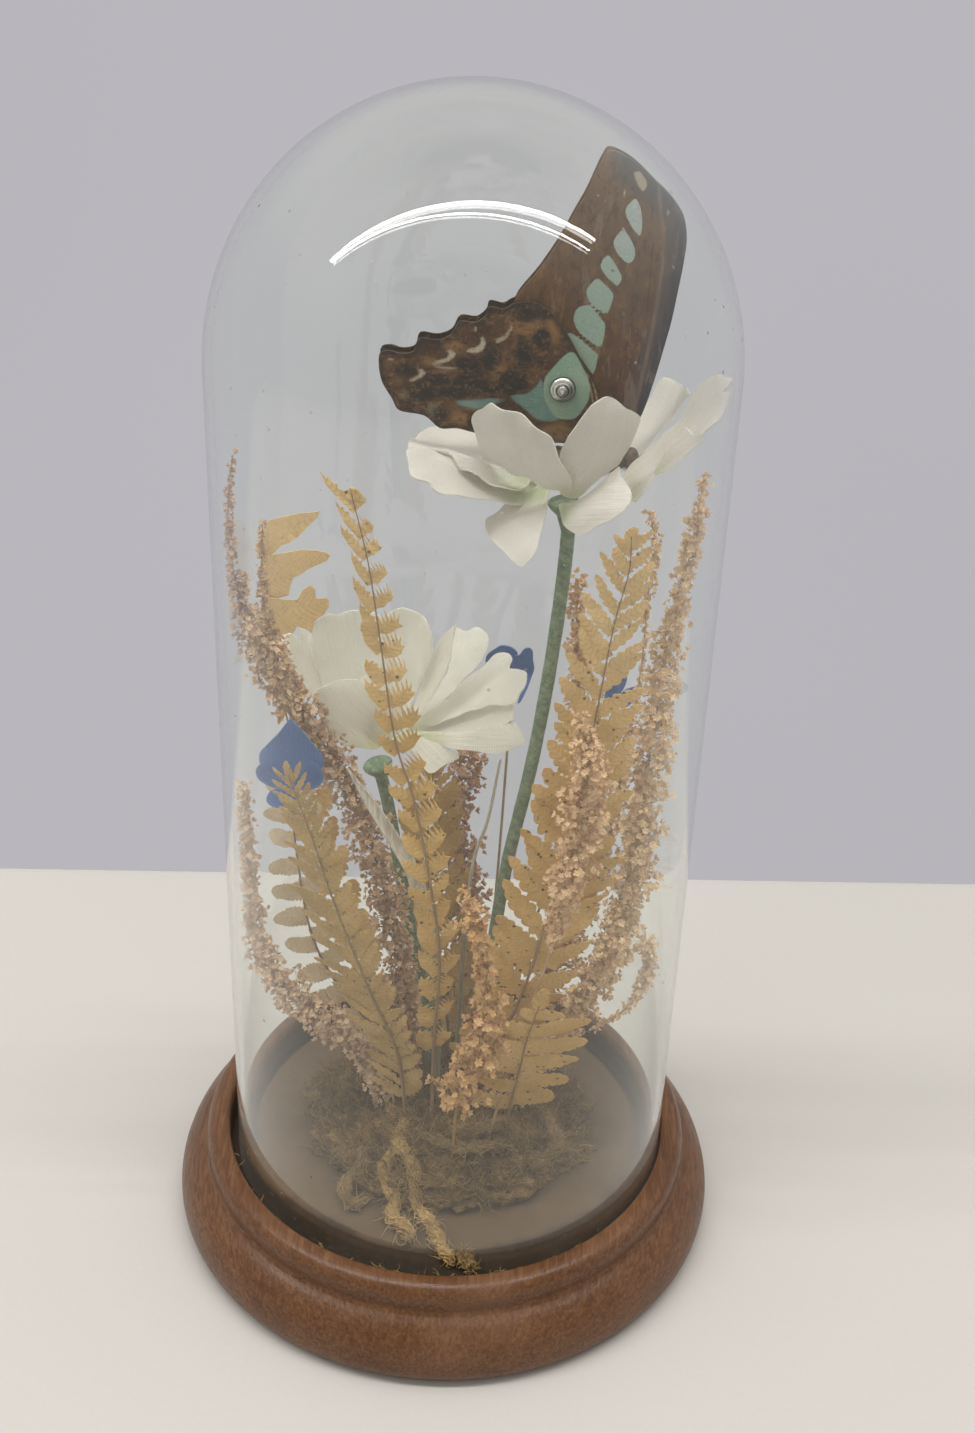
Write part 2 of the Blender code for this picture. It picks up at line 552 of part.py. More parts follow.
def make_plumes():
    plume("plume_left", [on_moss(-7.0, -1.8, 0.8), (-8.6, -1.8, 50.0), (-13.4, -3.0, 78.0), (-18.4, -3.8, 96.0),
                         (-23.0, -4.6, 105.6), (-29.8, -6.6, 117.0), (-34.0, -8.0, 128.0), (-37.0, -8.4, 141.0),
                         (-37.2, -8.8, 151.0), (-35.8, -10.4, 161.0)], 2.5, 1, lumps=17, bare=0.3)
    plume("plume_left_branch", [(-31.0, -3.2, 121.6), (-33.2, -2.6, 132.0), (-32.8, -3.0, 146.4)], 1.5, 2, 7, 0.1)
    plume("plume_left_low", [on_moss(-12.4, -2.4, 0.8), (-17.0, -3.4, 36.0), (-26.6, -5.4, 48.0),
                             (-34.2, -6.4, 57.6), (-36.6, -6.6, 66.0), (-37.4, -6.6, 83.0), (-37.4, -6.6, 98.0)],
          2.0, 3, 13, 0.2)
    plume("plume_right", [on_moss(12.4, -1.0, 0.8), (19.0, -1.8, 36.0), (28.6, -2.0, 56.0), (33.4, -1.6, 79.0),
                          (34.2, -1.6, 102.0), (35.2, -2.4, 125.0), (36.0, -4.4, 136.0), (36.8, -6.8, 148.0),
                          (37.0, -10.0, 160.4)], 3.9, 4, 17, 0.25)
    plume("plume_right_middle", [on_moss(9.4, 4.4, 0.8), (15.2, 5.6, 36.0), (21.6, 6.8, 56.6), (24.0, 7.0, 80.0),
                                 (23.6, 6.6, 99.4), (21.8, 5.6, 112.0), (20.0, 4.8, 124.0), (19.6, 4.6, 135.0)],
          5.2, 5, 17, 0.18)
    plume("plume_right_low", [on_moss(15.4, 6.4, 0.8), (21.4, 7.4, 33.0), (28.0, 10.0, 44.0), (33.0, 11.6, 55.0),
                              (35.0, 12.6, 67.0), (35.6, 12.4, 78.0), (35.2, 12.2, 90.0)], 2.4, 6, 13, 0.2)
    plume("plume_right_branch", [(28.6, -5.6, 47.0), (33.0, -6.0, 50.6), (36.4, -6.2, 56.0), (37.2, -6.2, 63.0),
                                 (36.4, -6.4, 68.0)], 1.5, 7, 9, 0.1)
    plume("plume_front", [on_moss(1.6, -15.0, 2.6), (2.6, -17.4, 38.0), (6.4, -19.0, 52.0), (7.0, -20.4, 66.0),
                          (4.4, -22.0, 80.2), (2.5, -22.4, 89.0)], 3.4, 8, 13, 0.0)
    plume("plume_back", [on_moss(3.6, 12.6, 0.8), (3.0, 16.8, 46.0), (1.6, 19.6, 62.0), (-0.6, 22.0, 76.0),
                         (1.6, 24.0, 88.0)], 2.6, 9, 11, 0.2)
    plume("sprig_right", [on_moss(13.0, 10.6, 0.8), (19.6, 13.6, 42.0), (28.0, 15.6, 66.0), (31.0, 13.6, 92.0),
                          (32.4, 11.4, 112.0), (32.4, 9.8, 130.0), (33.0, 9.8, 138.0), (31.4, 9.8, 145.4)],
          0.9, 10, 17, 0.3)


def make_blades():
    blade("pale_leaf", [on_moss(-1.8, -2.4, 0.6), (-3.0, -4.6, 58.0), (-6.4, -7.2, 79.0), (-9.4, -7.8, 86.5),
                        (-14.6, -8.2, 96.2), (-18.6, -9.6, 104.4)], 1.5, (0.1, -0.9, 0.4), "pale_blade")
    tube("pale_stem", smooth_path([on_moss(1.4, 6.4, 0.6), (3.0, 8.4, 68.0), (6.0, 9.6, 82.0), (7.8, 10.0, 95.0)],
                                  8), [0.45] * 8, "pale_blade", sides=6)


def make_moss_strand():
    """The strand rests on the mound, then on the floor of the base, up to the groove."""
    thick = 1.3
    spots = [(-13.0, -4.0), (-12.4, -8.4), (-9.6, -12.4), (-6.8, -16.2), (-4.6, -20.4), (-2.0, -25.0),
             (0.8, -29.6), (3.2, -34.4)]
    path = [on_moss(x, y, GAP + thick * 1.25) for x, y in spots]
    lift = [0.0, 0.0, 0.2, 0.4, 0.9, 0.5, 0.0, 0.0]
    path = [(x, y, z + more) for (x, y, z), more in zip(path, lift)]
    radii = [thick * (1.1 if i % 2 else 0.75) for i in range(len(path))]
    tube("moss_strand", path, radii, "golden_moss", sides=6)


make_base()
make_dome()
moss = make_moss()
make_moss_strand()
make_upper_flower()
make_lower_flower()
make_blue_flowers()
make_wings()
make_pin()
make_body()
make_ferns()
make_plumes()
make_blades()
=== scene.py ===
import math
import random

import bmesh
import bpy
import numpy as np
from mathutils import Matrix, Vector, noise
from mathutils.bvhtree import BVHTree


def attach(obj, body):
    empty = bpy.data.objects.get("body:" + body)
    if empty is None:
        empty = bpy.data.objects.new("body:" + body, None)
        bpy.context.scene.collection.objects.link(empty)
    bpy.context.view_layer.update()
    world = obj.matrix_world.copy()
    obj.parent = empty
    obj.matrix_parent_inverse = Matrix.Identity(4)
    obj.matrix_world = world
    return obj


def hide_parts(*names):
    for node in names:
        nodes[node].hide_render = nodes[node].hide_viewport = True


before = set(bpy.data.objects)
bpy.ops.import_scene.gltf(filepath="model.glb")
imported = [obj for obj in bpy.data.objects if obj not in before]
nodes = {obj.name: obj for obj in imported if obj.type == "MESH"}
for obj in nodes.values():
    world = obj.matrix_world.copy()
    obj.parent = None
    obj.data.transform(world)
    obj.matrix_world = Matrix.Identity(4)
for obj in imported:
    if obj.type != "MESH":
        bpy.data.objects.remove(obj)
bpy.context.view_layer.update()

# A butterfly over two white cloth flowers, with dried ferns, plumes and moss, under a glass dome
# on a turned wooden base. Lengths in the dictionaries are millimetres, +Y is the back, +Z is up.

mm = 0.001
scene = bpy.context.scene


def spot(x, y, z):
    return Vector((x, y, z)) * mm


def shaded(colour, share):
    return tuple(c * share for c in colour)


# camera, as the photograph was taken

view = {
    "aim": (5.1, 0.0, 109.6),
    "distance": 308.95,
    "pitch": 30.47,
    "roll": 2.31,
    "focalPixels": 1770,
    "longSidePixels": 1433,
    "sensor": 36.0,
    "nearest": 10.0,
}


def makeCamera():
    pitch, roll = math.radians(view["pitch"]), math.radians(view["roll"])
    back = Vector((0, -math.cos(pitch), math.sin(pitch)))
    level = Vector((1, 0, 0))
    upright = level.cross(-back)
    right = level * math.cos(roll) + upright * math.sin(roll)
    top = upright * math.cos(roll) - level * math.sin(roll)
    data = bpy.data.cameras.new("camera")
    data.sensor_width = view["sensor"]
    data.lens = view["sensor"] * view["focalPixels"] / view["longSidePixels"]
    data.clip_start = view["nearest"] * mm
    camera = bpy.data.objects.new("camera", data)
    scene.collection.objects.link(camera)
    turn = Matrix((right, top, back)).transposed()
    camera.matrix_world = Matrix.Translation(spot(*view["aim"]) + back * view["distance"] * mm) @ turn.to_4x4()
    scene.camera = camera


makeCamera()
print("camera set")


# shader sums: a wrapped socket takes part in Python expressions

class Wire:
    def __init__(self, paint, socket):
        self.paint = paint
        self.socket = socket

    def math(self, operation, *others):
        return self.paint.add("ShaderNodeMath", {"operation": operation}, [self, *others])

    def __add__(self, other):
        return self.math("ADD", other)

    def __sub__(self, other):
        return self.math("SUBTRACT", other)

    def __rsub__(self, other):
        return self.paint.add("ShaderNodeMath", {"operation": "SUBTRACT"}, [other, self])

    def __mul__(self, other):
        return self.math("MULTIPLY", other)

    def __pow__(self, other):
        return self.math("POWER", other)

    __radd__ = __add__
    __rmul__ = __mul__

    def most(self, other):
        return self.math("MAXIMUM", other)

    def sine(self):
        return self.math("SINE")

    def size(self):
        return self.math("ABSOLUTE")

    def spread(self, low, high, toLow=0.0, toHigh=1.0):  # low..high becomes toLow..toHigh, held at the ends
        return self.paint.add("ShaderNodeMapRange", {"interpolation_type": "SMOOTHSTEP"},
                              [self, low, high, toLow, toHigh])

    def below(self, low, high):  # 1 up to low, 0 from high on
        return self.spread(low, high, 1.0, 0.0)


class Paint:
    def __init__(self, name, kind=bpy.data.materials, shader="Principled BSDF", out="Material Output"):
        self.material = kind.new(name)
        self.material.use_nodes = True
        self.tree = self.material.node_tree
        self.shader, self.out = self.tree.nodes[shader], self.tree.nodes[out]

    def add(self, kind, settings=None, inputs=None, output=0):
        made = self.tree.nodes.new(kind)
        for key, value in (settings or {}).items():
            if key == "stops":
                ramp = made.color_ramp
                ramp.elements.remove(ramp.elements[1])
                ramp.elements[0].position = value[0][0]
                ramp.elements[0].color = (*value[0][1], 1)
                for place, colour in value[1:]:
                    ramp.elements.new(place).color = (*colour, 1)
            else:
                setattr(made, key, value)
        pairs = inputs.items() if isinstance(inputs, dict) else enumerate(inputs or [])
        for key, value in pairs:
            self.feed(made.inputs[key], value)
        return Wire(self, made.outputs[output])

    def feed(self, socket, value):
        if isinstance(value, Wire):
            self.tree.links.new(value.socket, socket)
        elif socket.type == "RGBA":
            socket.default_value = (*value, 1)
        else:
            socket.default_value = value

    def place(self):
        return self.add("ShaderNodeTexCoord", output="Object")

    def value(self, name):  # a number kept on the mesh's points
        return self.add("ShaderNodeAttribute", {"attribute_name": name}, output="Fac")

    def scaled(self, where, scale, turn=(0, 0, 0)):
        return self.add("ShaderNodeMapping", None, {"Vector": where, "Rotation": turn, "Scale": scale})

    def clouds(self, where, scale, detail=3.0, rough=0.55, bend=0.0):
        return self.add("ShaderNodeTexNoise", None,
                        {"Vector": where, "Scale": scale, "Detail": detail, "Roughness": rough, "Distortion": bend})

    def cells(self, where, scale):
        return self.add("ShaderNodeTexVoronoi", None, {"Vector": where, "Scale": scale}, "Distance")

    def axis(self, where, which):
        return self.add("ShaderNodeSeparateXYZ", None, [where], which)

    def mix(self, share, first, second):
        return self.add("ShaderNodeMix", {"data_type": "RGBA"}, {0: share, 6: first, 7: second}, 2)

    def over(self, colour, *layers):  # each layer is how much of it shows, and its colour
        for share, other in layers:
            colour = self.mix(share, colour, other)
        return colour

    def ramp(self, share, stops):
        return self.add("ShaderNodeValToRGB", {"stops": stops}, [share])

    def bump(self, height, depth, strength=1.0):
        return self.add("ShaderNodeBump", None, {"Height": height, "Distance": depth, "Strength": strength})

    def set(self, **sockets):
        names = {"colour": "Base Color", "rough": "Roughness", "normal": "Normal", "metal": "Metallic",
                 "coat": "Coat Weight", "coatRough": "Coat Roughness", "sheen": "Sheen Weight",
                 "sheenRough": "Sheen Roughness", "through": "Transmission Weight", "ior": "IOR",
                 "specular": "Specular IOR Level"}
        for key, value in sockets.items():
            self.feed(self.shader.inputs[names[key]], value)
        return self.material

    def glow(self, share, **inputs):  # a thin piece passes this share of the light on to its other side
        light = self.add("ShaderNodeBsdfTranslucent", None, inputs, "BSDF")
        blend = self.add("ShaderNodeMixShader", None, [share, Wire(self, self.shader.outputs[0]), light])
        self.tree.links.new(blend.socket, self.out.inputs["Surface"])
        return self.material


# mesh helpers

def curveAt(a, b, c, d, t):  # a place between b and c on the smooth curve through all four
    return 0.5 * (2 * b + (c - a) * t + (2 * a - 5 * b + 4 * c - d) * t * t + (3 * b - a - 3 * c + d) * t ** 3)


def smoothPath(points, count, steps=12):  # evenly spaced places on the smooth curve through the points
    knots = [Vector(p) for p in points]
    ends = [2 * knots[0] - knots[1]] + knots + [2 * knots[-1] - knots[-2]]
    fine = [curveAt(*four, step / steps)
            for four in zip(ends, ends[1:], ends[2:], ends[3:]) for step in range(steps)]
    fine.append(knots[-1])
    lengths = [0.0]
    for before, after in zip(fine, fine[1:]):
        lengths.append(lengths[-1] + (after - before).length)
    path = []
    at = 0
    for i in range(count):
        wanted = lengths[-1] * i / (count - 1)
        while at < len(fine) - 2 and lengths[at + 1] < wanted:
            at += 1
        share = (wanted - lengths[at]) / max(lengths[at + 1] - lengths[at], 1e-9)
        path.append(fine[at].lerp(fine[at + 1], min(share, 1.0)))
    return path


def softEdged(corners, steps=3):  # a closed flat outline with rounded corners, steps to each side
    knots = [Vector((x, y, 0)) for x, y in corners]
    count = len(knots)
    loop = [curveAt(*(knots[(i + k) % count] for k in (-1, 0, 1, 2)), step / steps)
            for i in range(count) for step in range(steps)]
    return [(p.x, p.y) for p in loop]


def pathFrames(path, facing):  # along, across and outward at each place of a path
    found = []
    for i in range(len(path)):
        along = (path[min(i + 1, len(path) - 1)] - path[max(i - 1, 0)]).normalized()
        across = along.cross(Vector(facing)).normalized()
        found.append((along, across, across.cross(along)))
    return found


def addTubes(bm, strands, sides):  # strands of (places, radii), in millimetres, as closed tubes
    curve = bpy.data.curves.new("strands", "CURVE")
    curve.dimensions = "3D"
    curve.bevel_depth = mm
    curve.bevel_resolution = (sides - 4) // 2
    curve.use_fill_caps = True
    for places, radii in strands:
        spline = curve.splines.new("POLY")
        spline.points.add(len(places) - 1)
        for knot, place, radius in zip(spline.points, places, radii):
            knot.co = (*(Vector(place) * mm), 1.0)
            knot.radius = radius
    holder = bpy.data.objects.new("strands", curve)
    mesh = bpy.data.meshes.new_from_object(holder)
    first = len(bm.verts)
    bm.from_mesh(mesh)
    bm.verts.ensure_lookup_table()
    bmesh.ops.remove_doubles(bm, verts=bm.verts[first:], dist=2e-7)
    bpy.data.objects.remove(holder)
    bpy.data.curves.remove(curve)
    bpy.data.meshes.remove(mesh)


def keepValues(mesh, name, values):
    layer = mesh.attributes.new(name, "FLOAT", "POINT")
    layer.data.foreach_set("value", np.asarray(values, np.float32))


def placed(name, bm, looks, smooth):  # puts a finished mesh into the scene
    mesh = bpy.data.meshes.new(name)
    bm.to_mesh(mesh)
    bm.free()
    for look in looks:
        mesh.materials.append(look)
    mesh.polygons.foreach_set("use_smooth", [smooth] * len(mesh.polygons))
    made = bpy.data.objects.new(name, mesh)
    scene.collection.objects.link(made)
    return made


def addPiece(name, bm, looks, replaced=(), smooth=True):
    made = placed(name, bm, looks if isinstance(looks, list) else [looks], smooth)
    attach(made, "root")
    if replaced:
        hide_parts(*replaced)
    return made


def crispEdges(bm):
    sharp = math.radians(50)
    for edge in bm.edges:
        if edge.is_manifold and edge.calc_face_angle(0) > sharp:
            edge.smooth = False


def thicken(bm, thickness):
    bmesh.ops.solidify(bm, geom=bm.faces[:], thickness=thickness * mm)
    crispEdges(bm)


def otherLook(bm, first):  # faces from first on get the second of the piece's looks
    bm.faces.ensure_lookup_table()
    for face in bm.faces[first:]:
        face.material_index = 1


def closeHoles(bm):
    bmesh.ops.holes_fill(bm, edges=[edge for edge in bm.edges if edge.is_boundary])
    bmesh.ops.recalc_face_normals(bm, faces=bm.faces)


def wall(made, thickness):  # gives a sheet its thickness, half to each side
    bm = bmesh.new()
    bm.from_mesh(made.data)
    bm.normal_update()
    for vert in bm.verts:
        vert.co += vert.normal * thickness * mm / 2
    thicken(bm, thickness)
    bm.to_mesh(made.data)
    bm.free()


def turnedBody(profile, steps):  # (radius, height) places turned about the upright axis
    bm = bmesh.new()
    line = [bm.verts.new(spot(radius, 0, height)) for radius, height in profile]
    edges = [bm.edges.new(pair) for pair in zip(line, line[1:])]
    bmesh.ops.spin(bm, geom=line + edges, cent=(0, 0, 0), axis=(0, 0, 1), angle=2 * math.pi, steps=steps,
                   use_merge=True)
    bmesh.ops.remove_doubles(bm, verts=bm.verts, dist=1e-7)
    bmesh.ops.recalc_face_normals(bm, faces=bm.faces)
    return bm


def rounded(points, count):
    return [(p.x, p.y) for p in smoothPath([(x, y, 0) for x, y in points], count)]


# table, far wall and light

room = {
    "tableEdge": 107.8,       # how far behind the middle of the base the table ends
    "tableTurn": 2.35,
    "table": (3000, 1700, 30),
    "tableBevel": 4.0,
    "tableColour": (0.575, 0.555, 0.53),
    "wallColour": (0.485, 0.473, 0.505),
    "wallScale": 2.2,
    # how far up the ceiling's colour begins and is full, and how far forward that of the front
    "ceilingFrom": (0.12, 0.55),
    "ceilingColour": (0.66, 0.645, 0.61),
    "frontFrom": (-0.15, -0.75),
    "frontColour": (0.345, 0.325, 0.295),
    "lampColour": (1.0, 0.985, 0.96),
    "lampAim": (0, 0, 90),
    "tubeMiddle": (-212, -134, 1000),
    "tubeLength": 1870,
    # how far each tube's right end lies behind its left, its shift, width and power
    "tubes": ((82, 0, 26, 5.0), (-3, -62, 13, 3.6)),
    # middle, size and power of the lamps that no glass mirrors
    "lamps": {
        "panel": ((-30, 240, 1000), (880, 470), 1.3),
        "key": ((-800, -900, 1050), (900, 900), 2.3),
        "fill": ((900, -700, 600), (900, 900), 0.7)},
}


def paintTable():
    paint = Paint("pale_table")
    where = paint.place()
    drift = paint.clouds(where, 3.0, 2.0).spread(0.3, 0.7)
    grains = paint.clouds(where, 900.0, 2.0).spread(0.35, 0.65)
    pale = room["tableColour"]
    colour = paint.mix(drift, shaded(pale, 0.965), shaded(pale, 1.02))
    return paint.set(colour=paint.mix(grains * 0.05, colour, shaded(pale, 0.8)), rough=0.55 + drift * 0.08,
                     normal=paint.bump(grains, 0.00003, 0.4), specular=0.35)


def makeTable():
    bm = bmesh.new()
    wide, deep, thick = (s * mm for s in room["table"])
    turn = Matrix.Rotation(math.radians(room["tableTurn"]), 3, "Z")
    bmesh.ops.create_cube(bm, size=1.0)
    bmesh.ops.scale(bm, verts=bm.verts, vec=(wide, deep, thick))
    bmesh.ops.translate(bm, verts=bm.verts, vec=(0, -deep / 2, -thick / 2))
    bmesh.ops.bevel(bm, geom=bm.edges[:], offset=room["tableBevel"] * mm, segments=4, profile=0.5, affect="EDGES",
                    material=-1)
    bmesh.ops.rotate(bm, verts=bm.verts, cent=(0, 0, 0), matrix=turn)
    bmesh.ops.translate(bm, verts=bm.verts, vec=(0, room["tableEdge"] * mm, 0))
    made = placed("table", bm, [paintTable()], False)


def makeWall():  # a plain grey wall a long way off, so it lights the scene evenly from all round
    paint = Paint("far_wall", bpy.data.worlds, "Background", "World Output")
    where = paint.add("ShaderNodeTexCoord", output="Generated")
    grey = room["wallColour"]
    colour = paint.mix(paint.clouds(where, room["wallScale"], 1.0, 0.5), shaded(grey, 0.95), shaded(grey, 1.05))
    # the ceiling is paler than the wall, the room in front of the table darker
    colour = paint.over(colour, (paint.axis(where, 2).spread(*room["ceilingFrom"]), room["ceilingColour"]),
                        (paint.axis(where, 1).spread(*room["frontFrom"]), room["frontColour"]))
    paint.feed(paint.shader.inputs["Color"], colour)
    scene.world = paint.material


def makeLamp(name, middle, size, power, mirrored=False):
    data = bpy.data.lights.new(name, "AREA")
    data.shape = "RECTANGLE"
    data.size, data.size_y = (s * mm for s in size)
    data.energy = power
    data.color = room["lampColour"]
    lamp = bpy.data.objects.new(name, data)
    lamp.location = spot(*middle)
    lamp.rotation_mode = "QUATERNION"
    lamp.rotation_quaternion = (spot(*room["lampAim"]) - lamp.location).to_track_quat("-Z", "Y")
    lamp.visible_glossy = lamp.visible_transmission = mirrored
    lamp.visible_camera = False
    scene.collection.objects.link(lamp)
    return lamp


def makeLights():
    x, y, z = room["tubeMiddle"]
    for number, (slope, shift, wide, power) in enumerate(room["tubes"], 1):
        tube = makeLamp(f"tube_{number}", (x, y + shift, z), (room["tubeLength"], wide), power, True)
        tube.rotation_quaternion = Matrix.Rotation(math.atan2(slope, room["tubeLength"]), 3, "Z").to_quaternion()
    lamps = {name: makeLamp(name, *values) for name, values in room["lamps"].items()}
    lamps["panel"].rotation_quaternion = (1, 0, 0, 0)  # it faces straight down, and so do the tubes
    scene.view_settings.view_transform = "Standard"


makeTable()
makeWall()
makeLights()
print("table and lights done")


# turned wooden base

base = {
    "floor": 13.0,
    "grooveInner": 39.6,
    "grooveOuter": 43.0,
    "grooveFloor": 11.0,
    "steps": 160,
    "ringFace": [(43, 17.6), (43.25, 18.2), (44, 18.4), (45.2, 18.38), (46.2, 18), (46.95, 17.2), (47.4, 16.2),
        (47.5, 15), (47.5, 13.6)],
    "foot": [(47.6, 13.0), (48.2, 12.5), (49.1, 11.95), (50.1, 11.05), (51.2, 9.75), (52.1, 8.2), (52.8, 6.2),
             (53.07, 4.3), (52.95, 2.7), (52.3, 1.3), (51.4, 0.45), (50.5, 0.0)],
    "dark": (0.074, 0.028, 0.010),
    "middle": (0.128, 0.053, 0.020),
    "light": (0.190, 0.091, 0.038),
    "inside": (0.110, 0.070, 0.036),
    "rubbed": (0.33, 0.18, 0.11),
    "frontShade": (0.014, 0.009, 0.005),
    "grooveShade": (0.020, 0.012, 0.008),
    "undersideRadius": 50.2,
}


def paintWood():
    paint = Paint("turned_wood")
    where = paint.place()
    grain = paint.clouds(paint.scaled(where, (1500, 110, 1500)), 1.0, 6.0, 0.6, 0.6).spread(0.3, 0.72)
    pores = paint.clouds(paint.scaled(where, (2600, 300, 2600)), 1.0, 3.0).spread(0.56, 0.70)
    bands = paint.clouds(paint.scaled(where, (120, 14, 120)), 1.0, 3.0, 0.5, 1.2)
    worn = paint.clouds(where, 60.0, 4.0).spread(0.45, 0.75)
    x, y, z = (paint.axis(where, k) for k in range(3))
    radius = (x * x + y * y) ** 0.5
    inner = radius.below((base["grooveInner"] - 0.3) * mm, (base["grooveInner"] + 0.2) * mm)
    dull = paint.mix(paint.clouds(where, 350.0, 4.0), shaded(base["inside"], 0.72), shaded(base["inside"], 1.28))
    # painted shade darkens the floor's front edge in a crescent along the groove, where the ring's front wall
    # shades it
    front = (x * x + (y - 0.0092) ** 2) ** 0.5 + (worn - 0.5) * 0.0012
    groove = (radius - (base["grooveInner"] + base["grooveOuter"]) / 2 * mm).size().below(0.0018, 0.0021)
    colour = paint.ramp(grain * 0.55 + bands * 0.45,
                        [(0.12, base["dark"]), (0.5, base["middle"]), (0.88, base["light"])])
    colour = paint.over(colour, (pores * 0.45, shaded(base["dark"], 0.45)), (worn * 0.16, base["rubbed"]),
                        (inner, dull), (front.spread(0.0382, 0.0404) * inner * 0.92, base["frontShade"]),
                        # painted shade: the groove between the glass and the ring is darkened
                        (groove * z.below(0.0160, 0.0176) * 0.9, base["grooveShade"]))
    rings = (radius * 9000.0).sine() * 0.06
    return paint.set(colour=colour, rough=0.34 + worn * 0.2 + inner * 0.4 + pores * 0.15,
                     normal=paint.bump(grain * 0.5 - pores * 0.6 + rings, 0.00008, 0.5),
                     coat=0.12 - inner * 0.12, coatRough=0.25, specular=0.35)


def makeBase():
    inner, outer, floor, low = (base[name] for name in ("grooveInner", "grooveOuter", "floor", "grooveFloor"))
    profile = [(0, floor), (20, floor), (inner - 0.5, floor), (inner - 0.1, floor - 0.12), (inner, floor - 0.5),
               (inner, low + 0.3), (inner + 0.3, low), (outer - 0.3, low), (outer, low + 0.3)]
    profile += rounded(base["ringFace"], 22) + rounded(base["foot"], 28)
    profile += [(base["undersideRadius"], 0.0), (0, 0.0)]
    addPiece("turned_base", turnedBody(profile, base["steps"]), paintWood(), ["wooden_base"])


makeBase()
print("base done")


# glass dome

dome = {
    "radius": 42.0,
    "wall": 1.4,
    "shoulder": 173.0,
    "stretch": 1.018,
    "foot": 11.3,
    "shift": 0.7,
    "roomInside": 40.2,       # a plume's flowers stay within this, less the radius of one
    "steps": 180,
    "capRings": 40,
    "sideRings": [30, 50, 75, 100, 125, 150],
    "rimSteps": 8,
    "tint": (0.965, 0.985, 0.965),
    "specks": (0.62, 0.60, 0.56),
    "absorb": (0.86, 0.93, 0.84),
    "density": 7.0,
}


def paintGlass():
    paint = Paint("clear_glass")
    where = paint.place()
    film = paint.clouds(where, 45.0, 4.0, 0.6).spread(0.35, 0.8)
    specks = paint.cells(where, 190.0).below(0.045, 0.065) * paint.clouds(where, 30.0).spread(0.45, 0.6)
    paint.set(colour=paint.mix(specks * 0.5, dome["tint"], dome["specks"]), rough=film * 0.03 + specks * 0.5,
              through=1.0, ior=1.5, sheen=0.07, sheenRough=0.35)
    green = paint.add("ShaderNodeVolumeAbsorption", None, {"Color": dome["absorb"], "Density": dome["density"]})
    paint.feed(paint.out.inputs["Volume"], green)
    return paint.material


def makeDome():
    outer, inner = dome["radius"], dome["radius"] - dome["wall"]
    middle, half = (outer + inner) / 2, dome["wall"] / 2
    turns = [math.pi / 2 * i / dome["capRings"] for i in range(dome["capRings"] + 1)]
    rim = [math.pi * i / dome["rimSteps"] for i in range(dome["rimSteps"] + 1)]

    def cap(radius):
        places = [(radius * math.sin(a), dome["shoulder"] + radius * dome["stretch"] * math.cos(a)) for a in turns]
        return [(0, places[0][1])] + places[1:]

    profile = cap(outer) + [(outer, z) for z in dome["sideRings"][::-1]]
    profile += [(middle + half * math.cos(a), dome["foot"] + half - half * math.sin(a)) for a in rim]
    profile += [(inner, z) for z in dome["sideRings"]] + cap(inner)[::-1]
    bm = turnedBody(profile, dome["steps"])
    bmesh.ops.translate(bm, verts=bm.verts, vec=spot(dome["shift"], 0, 0))
    made = addPiece("clear_dome", bm, paintGlass(), ["glass_dome"])
    made.visible_shadow = False
    made.visible_diffuse = False


makeDome()
print("dome done")


# the butterfly's wings

